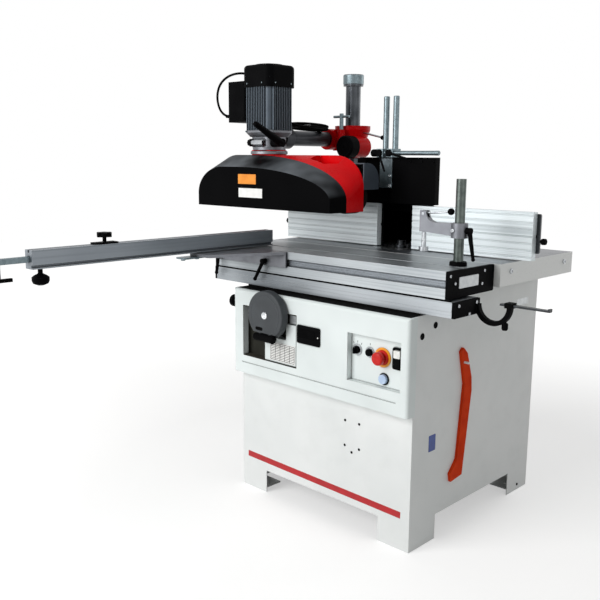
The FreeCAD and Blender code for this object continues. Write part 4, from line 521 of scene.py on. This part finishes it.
chart = dict(x=-143.5, z=557, wide=123, tall=66, face=-407, rows=11, columns=6, line=1.7, margin=8)
chartTop = chart["face"] - 0.8
gridWide, gridTall = chart["wide"] - chart["margin"], chart["tall"] - chart["margin"]
bm = bmesh.new()
slab(bm, roundRect(chart["wide"], chart["tall"], 2), mm(chart["x"], chart["face"], chart["z"]), right, up, 0.8)
piece("chartPlate", bm, "plateWhite", "base")
bm = bmesh.new()
for k in range(chart["rows"]):
    z = chart["z"] + (k / (chart["rows"] - 1) - 0.5) * gridTall
    slab(bm, roundRect(gridWide, chart["line"], 0.3, 2), mm(chart["x"], chartTop, z), right, up, 0.1, 0.05)
for k in range(chart["columns"]):
    x = chart["x"] + (k / (chart["columns"] - 1) - 0.5) * gridWide
    slab(bm, roundRect(chart["line"], gridTall, 0.3, 2), mm(x, chartTop, chart["z"]), right, up, 0.14, 0.05)
piece("chartLines", bm, "wellPlastic", "base")

scale = dict(x=-96, z=682, wide=32, tall=32, thick=26)
bm = bmesh.new()
slab(bm, roundRect(scale["wide"], scale["tall"], 3), mm(scale["x"], inner["floor"], scale["z"]), right, up,
     scale["thick"], 1.5)
piece("scaleBlock", bm, "plateGrey", "base")

readout = dict(x=-16, z=640, wide=104, tall=62, proud=5, glass=(-22, 644, 72, 30), lamp=(29, 640, 2.6))
readoutFace = fascia["face"] - readout["proud"]
bm = bmesh.new()
slab(bm, roundRect(readout["wide"], readout["tall"], 6), mm(readout["x"], fascia["face"], readout["z"]), right, up,
     readout["proud"], 1.5)
piece("readoutCase", bm, "blackPlastic", "base")
x, z, wide, tall = readout["glass"]
bm = bmesh.new()
slab(bm, roundRect(wide, tall, 3), mm(x, readoutFace, z), right, up, 0.8, 0.3)
piece("readoutGlass", bm, "readoutGlass", "base")
x, z, r = readout["lamp"]
bm = bmesh.new()
revolve(bm, [(r, -0.3), (r, 0.5), (r * 0.7, 1.2), (r * 0.2, 1.5)], mm(x, readoutFace, z), front, 20)
piece("readoutLamp", bm, "startWhite", "base")

rings = dict(stop=(278, 617, 23.5, 31), bright=((176, 624, 13, 18), (227, 624, 12.5, 17)),
             dark=((285, 550, 16, 18.8),), frame=(338, 624, 38, 68, 28, 56))
bm = bmesh.new()
x, z, hole, outer = rings["stop"]
revolve(bm, [(hole, -0.5), (hole, 2.5), (hole + 1, 3.2), (outer - 1, 3.2), (outer, 2.2), (outer, -0.5)],
        mm(x, fascia["pocket"], z), front, 48, closed=True)
piece("stopRing", bm, "ringYellow", "base")
bm = bmesh.new()
revolve(bm, [(12.5, -0.5), (12.5, 8), (19, 8), (hole - 1, 5), (hole - 0.2, 3), (hole - 0.2, -0.5)],
        mm(x, fascia["pocket"], z), front, 48, closed=True)
piece("stopCollar", bm, "stopRed", "base")
for name, finish in (("bright", "turnedSteel"), ("dark", "blackPlastic")):
    bm = bmesh.new()
    for x, z, hole, outer in rings[name]:
        revolve(bm, [(hole, -0.5), (hole, 3.2), (hole + 0.8, 4), (outer - 1.5, 4), (outer, 2.5), (outer, -0.5)],
                mm(x, fascia["pocket"], z), front, 40, closed=True)
    piece(name + "Bezels", bm, finish, "base")
x, z, wide, tall, holeWide, holeTall = rings["frame"]
bm = bmesh.new()
band(bm, roundRect(wide, tall, 6), roundRect(holeWide, holeTall, 2), mm(x, fascia["pocket"], z), right, up, 7)
piece("buttonFrame", bm, "blackPlastic", "base")

ticks = dict(spots=((160, 645, 25), (176, 650, 0), (192, 645, -25), (227, 650, 0)), wide=1.6, tall=7)
bm = bmesh.new()
for x, z, lean in ticks["spots"]:
    turn = Matrix.Rotation(math.radians(-lean), 3, "Y")
    slab(bm, roundRect(ticks["wide"], ticks["tall"], 0.6, 3), mm(x, fascia["pocket"], z), turn @ right, turn @ up,
         0.2, 0.1)
piece("switchTicks", bm, "blackPlastic", "base")

hub = dict(x=-191, z=687, face=-448, cap=13, ring=(66, 70), slot=(-218, 638, 36, 12))
spot = mm(hub["x"], hub["face"], hub["z"])
bm = bmesh.new()
r = hub["cap"]
revolve(bm, [(r, -1), (r, 1.5), (r - 1.5, 3), (r * 0.5, 3.4), (r * 0.42, 2.4), (1, 2.4)], spot, front, 40)
piece("wheelHubCap", bm, "chrome", "handwheel")
bm = bmesh.new()
hole, outer = hub["ring"]
revolve(bm, [(hole, -0.4), (hole + 0.6, 0.5), (outer - 0.6, 0.5), (outer, -0.4)], spot, front, 72, closed=True)
piece("wheelFaceRing", bm, "wheelPlastic", "handwheel")
# black sheet on the wheel face: painted shade standing in for the finger hollow
x, z, wide, tall = hub["slot"]
bm = bmesh.new()
slab(bm, roundRect(wide, tall, 5.5), mm(x, hub["face"], z), right, up, 0.5, 0.3)
piece("fingerHollowShade", bm, "blackPlastic", "handwheel")
print("fascia pieces made")

# carriage and crosscut fence
foot = dict(x=-365, y=-1165, stemTop=903, head=25)
bm = bmesh.new()
r = foot["head"]
revolve(bm, [(7, -2), (7, 14), (9, 16), (r * 0.7, 20), (r, 26), (r, 36), (r * 0.86, 44), (r * 0.4, 49), (2, 50)],
        mm(foot["x"], foot["y"], foot["stemTop"]), down, 36)
piece("fenceFoot", bm, "blackPlastic", "crosscut_fence")

clampPlate = dict(x=-365, y=-624, low=884, wide=46, deep=88, thick=5.5, bolts=(-655, -597))
bm = bmesh.new()
slab(bm, roundRect(clampPlate["wide"], clampPlate["deep"], 4),
     mm(clampPlate["x"], clampPlate["y"], clampPlate["low"] + clampPlate["thick"]), right, front,
     clampPlate["thick"], 1)
for y in clampPlate["bolts"]:
    revolve(bm, [(7, -0.5), (7.5, 0.5), (7.5, 4.5), (6, 5.5), (2, 5.5)],
            mm(clampPlate["x"], y, clampPlate["low"]), down, 24)
piece("fenceClampPlate", bm, "zincPlate", "carriage")

endPlate = dict(face=480, y=-248, z=862, wide=104, tall=34, thick=3,
                screws=((-346, 886), (-161, 886), (-320, 862), (-173, 847)))
bm = bmesh.new()
slab(bm, roundRect(endPlate["wide"], endPlate["tall"], 3), mm(endPlate["face"], endPlate["y"], endPlate["z"]),
     back, up, endPlate["thick"], 0.8)
piece("blankEndPlate", bm, "plateGrey", "carriage")
bm = bmesh.new()
for y, z in endPlate["screws"]:
    socketScrew(bm, mm(endPlate["face"], y, z), right, 4.5, 3)
piece("carriageEndScrews", bm, "turnedSteel", "carriage")

slotStrip = dict(middle=-39.5, long=1014, floor=-345, z=861.5, tall=22, thick=0.8, ribs=3, ribTall=1.4)
bm = bmesh.new()
slab(bm, roundRect(slotStrip["long"], slotStrip["tall"], 1),
     mm(slotStrip["middle"], slotStrip["floor"], slotStrip["z"]), right, up, slotStrip["thick"], 0.2)
for k in range(slotStrip["ribs"]):
    z = slotStrip["z"] + (k - 1) * slotStrip["tall"] / slotStrip["ribs"]
    slab(bm, roundRect(slotStrip["long"], slotStrip["ribTall"], 0.5),
         mm(slotStrip["middle"], slotStrip["floor"] - slotStrip["thick"], z), right, up, 1.2, 0.3)
piece("carriageSlotStrip", bm, "aluminiumDeep", "carriage")

railFill = dict(middle=-29.5, long=1046, floor=-347.2, z=788.5, tall=11.8, thick=5.6)
bm = bmesh.new()
slab(bm, roundRect(railFill["long"], railFill["tall"], 0.3, 2),
     mm(railFill["middle"], railFill["floor"], railFill["z"]), right, up, railFill["thick"], 0.2)
piece("railCoverStrip", bm, "aluminiumAcross", "base")
wiper = dict(middle=-29.5, long=1040, floor=-350, z=815, tall=5, thick=2.5)
bm = bmesh.new()
slab(bm, roundRect(wiper["long"], wiper["tall"], 1), mm(wiper["middle"], wiper["floor"], wiper["z"]), right, up,
     wiper["thick"], 0.4)
piece("railWiper", bm, "beltRubber", "base")

stopKnob = dict(x=596, y=-228, top=757)
bm = bmesh.new()
revolve(bm, [(4, -3), (4, 6), (8, 8), (9.5, 12), (9.5, 24), (7, 29), (2, 30)],
        mm(stopKnob["x"], stopKnob["y"], stopKnob["top"]), down, 32)
piece("stopArmKnob", bm, "blackPlastic", "base")

railScrews = dict(rightFace=504, leftFace=-563, spots=((-333, 801), (-275, 770), (-238, 801)))
bm = bmesh.new()
for y, z in railScrews["spots"]:
    socketScrew(bm, mm(railScrews["rightFace"], y, z), right, 5, 3)
    socketScrew(bm, mm(railScrews["leftFace"], y, z), left, 5, 3)
piece("railEndScrews", bm, "turnedSteel", "base")

post = dict(x=423, y=-219, flange=900, ball=(391, 1061, 10.6), screw=(415, -243, 1007))
bm = bmesh.new()
revolve(bm, [(16, 0), (26.5, 0), (26.5, 9), (24.5, 13), (17, 13.5), (16, 12)],
        mm(post["x"], post["y"], post["flange"]), up, 48, closed=True)
piece("clampPostCollar", bm, "blackPlastic", "carriage")
x, z, r = post["ball"]
bm = bmesh.new()
ball(bm, mm(x, post["y"], z), r)
piece("clampHandleBall", bm, "blackPlastic", "clamp_handle")
bm = bmesh.new()
socketScrew(bm, mm(*post["screw"]), front, 6, 4)
piece("clampBossScrew", bm, "turnedSteel", "clamp_arm")
print("carriage pieces made")

# hood, posts and fence plates
hoodKnob = dict(block=(-72, 27, 1237), spread=231, y=115, low=912)
knob = [(6, -1), (6, 26), (14, 28), (20, 31), (20, 44), (16, 49), (3, 50)]
bm = bmesh.new()
revolve(bm, [(5, -1), (5, 6), (9, 7), (12, 9), (12, 20), (10, 23), (3, 24)], mm(*hoodKnob["block"]), left, 40,
        lobes=6)
for sx in (-1, 1):
    revolve(bm, knob, mm(sx * hoodKnob["spread"], hoodKnob["y"], hoodKnob["low"]), up, 40, lobes=6)
piece("lockKnobs", bm, "blackPlastic", "base")

postLever = dict(face=-9, middle=-14, pairs=(((-57, 1237), (-28, 1172)), ((-14, 1237), (72, 1217))), hub=12.5)
bm = bmesh.new()
for start, end in postLever["pairs"]:
    r = postLever["hub"]
    revolve(bm, [(r, -0.5), (r, 7), (r - 1.5, 9), (2, 9.4)], mm(start[0], postLever["face"], start[1]), front, 32)
    rod(bm, mm(start[0], postLever["middle"], start[1]), mm(end[0], postLever["middle"], end[1]), 4.4, 3.6)
piece("postLevers", bm, "blackPlastic", "base")

hoodScrews = dict(left=((70, 930), (70, 1000), (84, 1190)), right=((70, 930), (70, 1000)), half=166.5,
                  row=(10, 58, 106, 154), rowFace=20, rowZ=1208, plate=((-30, 1157), (-30, 1121)), plateFace=21)
bm = bmesh.new()
for y, z in hoodScrews["left"]:
    socketScrew(bm, mm(-hoodScrews["half"], y, z), left, 6, 4)
for y, z in hoodScrews["right"]:
    socketScrew(bm, mm(hoodScrews["half"], y, z), right, 6, 4)
for x in hoodScrews["row"]:
    socketScrew(bm, mm(x, hoodScrews["rowFace"], hoodScrews["rowZ"]), front, 5, 3)
piece("hoodScrews", bm, "blackPlastic", "base")
bm = bmesh.new()
for x, z in hoodScrews["plate"]:
    socketScrew(bm, mm(x, hoodScrews["plateFace"], z), front, 6, 4)
piece("bracketScrews", bm, "chrome", "base")

rodCap = dict(at=(178, 4, 1237), wide=8.3)
bm = bmesh.new()
r = rodCap["wide"]
revolve(bm, [(r, -6), (r, 9), (r - 1.2, 10.5), (1, 10.8)], mm(*rodCap["at"]), right, 32)
piece("presserRodCap", bm, "zincPlate", "presser_rod")

rodRing = dict(at=(-77.2, 4, 1237), hole=8.4, outer=13.4, long=22)
bm = bmesh.new()
hole, outer, long = (rodRing[key] for key in ("hole", "outer", "long"))
revolve(bm, [(hole, 0), (outer - 1, 0), (outer, 2), (outer, long - 4), (outer - 1.4, long - 0.6), (hole, long)],
        mm(*rodRing["at"]), left, 40, closed=True)
piece("rodClampRing", bm, "blackPlastic", "base")

hoodWing = dict(x=-170, y=31, z=1158, wide=40, tall=122, thick=2)
bm = bmesh.new()
slab(bm, roundRect(hoodWing["wide"], hoodWing["tall"], 2), mm(hoodWing["x"], hoodWing["y"], hoodWing["z"]),
     right, up, hoodWing["thick"], 0.5)
piece("hoodWing", bm, "hoodPaint", "base")

postCap = dict(spots=(-57, -14), y=27, top=1433, wide=9.6)
bm = bmesh.new()
for x in postCap["spots"]:
    r = postCap["wide"]
    revolve(bm, [(r - 0.5, -5), (r, -4), (r, 1), (r - 1, 2.2), (1, 2.6)], mm(x, postCap["y"], postCap["top"]), up, 32)
piece("postCaps", bm, "zincPlate", "base")

endBracket = dict(x=532, wide=40, low=925, high=1050, face=40, thick=8, knob=(552, 44, 964))
for name, sx in (("Right", 1), ("Left", -1)):
    bm = bmesh.new()
    slab(bm, roundRect(endBracket["wide"], endBracket["high"] - endBracket["low"], 5),
         mm(sx * endBracket["x"], endBracket["face"], (endBracket["low"] + endBracket["high"]) / 2), left, up,
         endBracket["thick"], 1.5)
    piece("plateBracket" + name, bm, "arborSteel", "fence_" + name.lower())
    x, y, z = endBracket["knob"]
    bm = bmesh.new()
    revolve(bm, [(4, -1), (4, 4), (9, 5), (10, 8), (10, 17), (8, 20), (2, 20.5)], mm(sx * x, y, z), right * sx, 32,
            lobes=6)
    piece("plateKnob" + name, bm, "blackPlastic", "fence_" + name.lower())
print("hood pieces made")

# feeder: plates, ring, screws and small knobs
coverPlates = dict(orange=(-448, 1140, 97, 36), white=(-430, 1090, 128, 34), face=-293)
for name, finish in (("orange", "plateOrange"), ("white", "plateWhite")):
    x, z, wide, tall = coverPlates[name]
    bm = bmesh.new()
    slab(bm, roundRect(wide, tall, 2), mm(x, coverPlates["face"], z), right, up, 0.8)
    piece(name + "CoverPlate", bm, finish, "feeder_head")

turntable = dict(x=-460, y=-168, low=1231, inner=65.8, outer=70)
bm = bmesh.new()
hole, outer = turntable["inner"], turntable["outer"]
revolve(bm, [(hole, 0), (outer - 0.6, 0), (outer, 0.6), (outer, 9), (outer - 1.4, 11), (hole, 12)],
        mm(turntable["x"], turntable["y"], turntable["low"]), up, 72, closed=True)
piece("turntableRing", bm, "castAlloy", "feeder_head")

lockBolt = dict(x=-424, y=-228, z=1273)
spot = mm(lockBolt["x"], lockBolt["y"], lockBolt["z"])
bm = bmesh.new()
revolve(bm, [(12.5, 0), (13.5, 1), (13.5, 46), (11, 48), (11, 63)], spot, left, 32)
piece("lockBoltSleeve", bm, "turnedSteel", "feeder_arm")
bm = bmesh.new()
revolve(bm, [(10.5, 61), (13, 62), (13, 78), (9, 84), (2, 85)], spot, left, 40, lobes=8)
piece("lockBoltKnob", bm, "blackPlastic", "feeder_arm")

gearFace = dict(at=(-345, 140, 1262), wide=43.6)
spot, r = mm(*gearFace["at"]), gearFace["wide"]
bm = bmesh.new()
revolve(bm, [(r, -0.5), (r, 7), (39, 12), (33, 12), (31, 9.5), (14, 9.5), (12, 12), (4, 12), (3, 9)], spot, front, 48)
revolve(bm, [(r - 1.5, -36), (r, -35.2), (r, -1), (r - 1.5, 0)], spot, front, 64, closed=True)
piece("gearFace", bm, "blackPlastic", "stand_head")

headLever = dict(start=(-352, 240, 1322), end=(-232, 222, 1299), thick=4)
start, end = mm(*headLever["start"]), mm(*headLever["end"])
bm = bmesh.new()
rod(bm, start, end, headLever["thick"])
piece("headLever", bm, "turnedSteel", "stand_head")
bm = bmesh.new()
revolve(bm, [(3, -1), (7, 1), (9, 6), (9, 8), (7, 13), (3, 15)], end, end - start, 28)
piece("headLeverBall", bm, "blackPlastic", "stand_head")

motorTrim = dict(x=-460, y=-168, screwZ=1486, screwOff=40, half=74.5, flangeZ=1314, flangeOff=52, flangeHalf=69,
                 lid=(-581, 1425, 88, 138), box=-223, lidThick=2.5, lidInset=8)
bm = bmesh.new()
x, y, half = (motorTrim[key] for key in ("x", "y", "half"))
for d in (-motorTrim["screwOff"], motorTrim["screwOff"]):
    socketScrew(bm, mm(x + d, y - half, motorTrim["screwZ"]), front, 2.8, 2)
    socketScrew(bm, mm(x + half, y + d, motorTrim["screwZ"]), right, 2.8, 2)
for d in (-motorTrim["flangeOff"], motorTrim["flangeOff"]):
    socketScrew(bm, mm(x + d, y - motorTrim["flangeHalf"], motorTrim["flangeZ"]), front, 3.2, 3)
piece("motorScrews", bm, "zincPlate", "feeder_arm")
x, z, wide, tall = motorTrim["lid"]
bm = bmesh.new()
slab(bm, roundRect(wide, tall, 6), mm(x, motorTrim["box"], z), right, up, motorTrim["lidThick"], 1)
lidFace, inset = motorTrim["box"] - motorTrim["lidThick"], motorTrim["lidInset"]
for sx in (-1, 1):
    for sz in (-1, 1):
        socketScrew(bm, mm(x + sx * (wide / 2 - inset), lidFace, z + sz * (tall / 2 - inset)), front, 3.5, 2)
piece("terminalLid", bm, "blackPlastic", "feeder_arm")

grille = dict(at=(-460, -168, 1553), rings=(18, 32, 46))
bm = bmesh.new()
for r in grille["rings"]:
    revolve(bm, [(r, -0.5), (r, 2.5), (r + 1, 3), (r + 5, 3), (r + 6, 2.5), (r + 6, -0.5)], mm(*grille["at"]), up,
            48, closed=True)
piece("fanGrille", bm, "blackPlastic", "feeder_arm")

columnBolts = dict(x=-402, y=247, top=920, spread=56)
bm = bmesh.new()
for sx in (-1, 1):
    for sy in (-1, 1):
        revolve(bm, [(13, -0.5), (13.5, 0.5), (13.5, 2), (10, 2.2), (9.5, 9), (8, 10.5), (2, 10.5)],
                mm(columnBolts["x"] + sx * columnBolts["spread"], columnBolts["y"] + sy * columnBolts["spread"],
                   columnBolts["top"]), up, 24, hexFrom=3)
piece("columnBolts", bm, "zincPlate", "base")

columnCollar = dict(x=-402, y=247, low=1511, tall=35, inner=40.05, outer=41.6)
bm = bmesh.new()
hole, outer, tall = (columnCollar[key] for key in ("inner", "outer", "tall"))
revolve(bm, [(hole, 0), (outer - 0.6, 0), (outer, 0.8), (outer, tall - 0.8), (outer - 0.6, tall), (hole, tall)],
        mm(columnCollar["x"], columnCollar["y"], columnCollar["low"]), up, 64, closed=True)
piece("columnCollar", bm, "zincPlate", "base")

wheelNut = dict(spots=(-640, -470, -300, -130), face=-55, z=1083)
for k, x in enumerate(wheelNut["spots"]):
    bm = bmesh.new()
    revolve(bm, [(20, -1), (21, 0.5), (21, 2), (12, 2.4), (11, 6.5), (9, 7.5), (4, 7.5), (3, 6)],
            mm(x, wheelNut["face"], wheelNut["z"]), back, 36)
    piece("wheelNut%d" % (k + 1), bm, "zincPlate", "feed_wheel_%d" % (k + 1))
print("feeder pieces made")

# floor, studio light and white surround
studio = dict(half=9, near=1.1, far=3.4, nearGlow=0.46, farGlow=0.8, skyLight=0.3, aim=(-0.1, -0.2, 0.85))


def backdropShare(tree):
    ray = addNode(tree, "ShaderNodeLightPath", {})
    share = ray.outputs["Is Camera Ray"]
    for kind in ("Is Glossy Ray", "Is Transmission Ray"):
        share = addNode(tree, "ShaderNodeMath", {0: share, 1: ray.outputs[kind]}, operation="ADD",
                        use_clamp=True).outputs[0]
    return share


half = studio["half"]
floorMesh = bpy.data.meshes.new("studioFloor")
floorMesh.from_pydata([(-half, -half, 0), (half, -half, 0), (half, half, 0), (-half, half, 0)], [], [(0, 1, 2, 3)])
studioFloor = bpy.data.objects.new("studioFloor", floorMesh)
bpy.context.scene.collection.objects.link(studioFloor)
floorFinish = makeFinish("paleStudioFloor", "#d6d6d5", "#d2d2d1", (0.7, 0.8), 900, 6, 0.01, **dull)
tree = floorFinish.node_tree
spot = addNode(tree, "ShaderNodeNewGeometry", {}).outputs["Position"]
away = addNode(tree, "ShaderNodeVectorMath", {0: spot}, operation="LENGTH").outputs["Value"]
glow = addNode(tree, "ShaderNodeMapRange", {0: away, 1: studio["near"], 2: studio["far"], 3: studio["nearGlow"],
                                            4: studio["farGlow"]}).outputs[0]
seen = addNode(tree, "ShaderNodeMath", {0: glow, 1: backdropShare(tree)}, operation="MULTIPLY").outputs[0]
shader = next(node for node in tree.nodes if node.type == "BSDF_PRINCIPLED")
shader.inputs["Emission Color"].default_value = (1, 1, 1, 1)
tree.links.new(seen, shader.inputs["Emission Strength"])
floorMesh.materials.append(floorFinish)

lamps = dict(key=((-1.2, -4.3, 2.3), 3.0, 175), top=((0.3, 0.2, 4.0), 3.0, 10), side=((3.9, -0.9, 1.5), 2.4, 13),
             behind=((1.2, 4.6, 2.2), 3.0, 36))
for name, (spot, size, power) in lamps.items():
    light = bpy.data.lights.new(name + "Softbox", "AREA")
    light.size, light.energy = size, power
    lamp = bpy.data.objects.new(name + "Softbox", light)
    bpy.context.scene.collection.objects.link(lamp)
    lamp.location = spot
    lamp.rotation_euler = (Vector(studio["aim"]) - Vector(spot)).to_track_quat("-Z", "Y").to_euler()

surround = bpy.data.worlds.new("whiteSurround")
bpy.context.scene.world = surround
surround.use_nodes = True
tree = surround.node_tree
tree.nodes.clear()
seen = addNode(tree, "ShaderNodeMapRange", {0: backdropShare(tree), 3: studio["skyLight"], 4: 1.0})
sky = addNode(tree, "ShaderNodeBackground", {"Color": (1, 1, 1, 1), "Strength": seen.outputs[0]})
addNode(tree, "ShaderNodeOutputWorld", {"Surface": sky.outputs[0]})
bpy.context.scene.view_settings.view_transform = "Standard"
print("studio set")
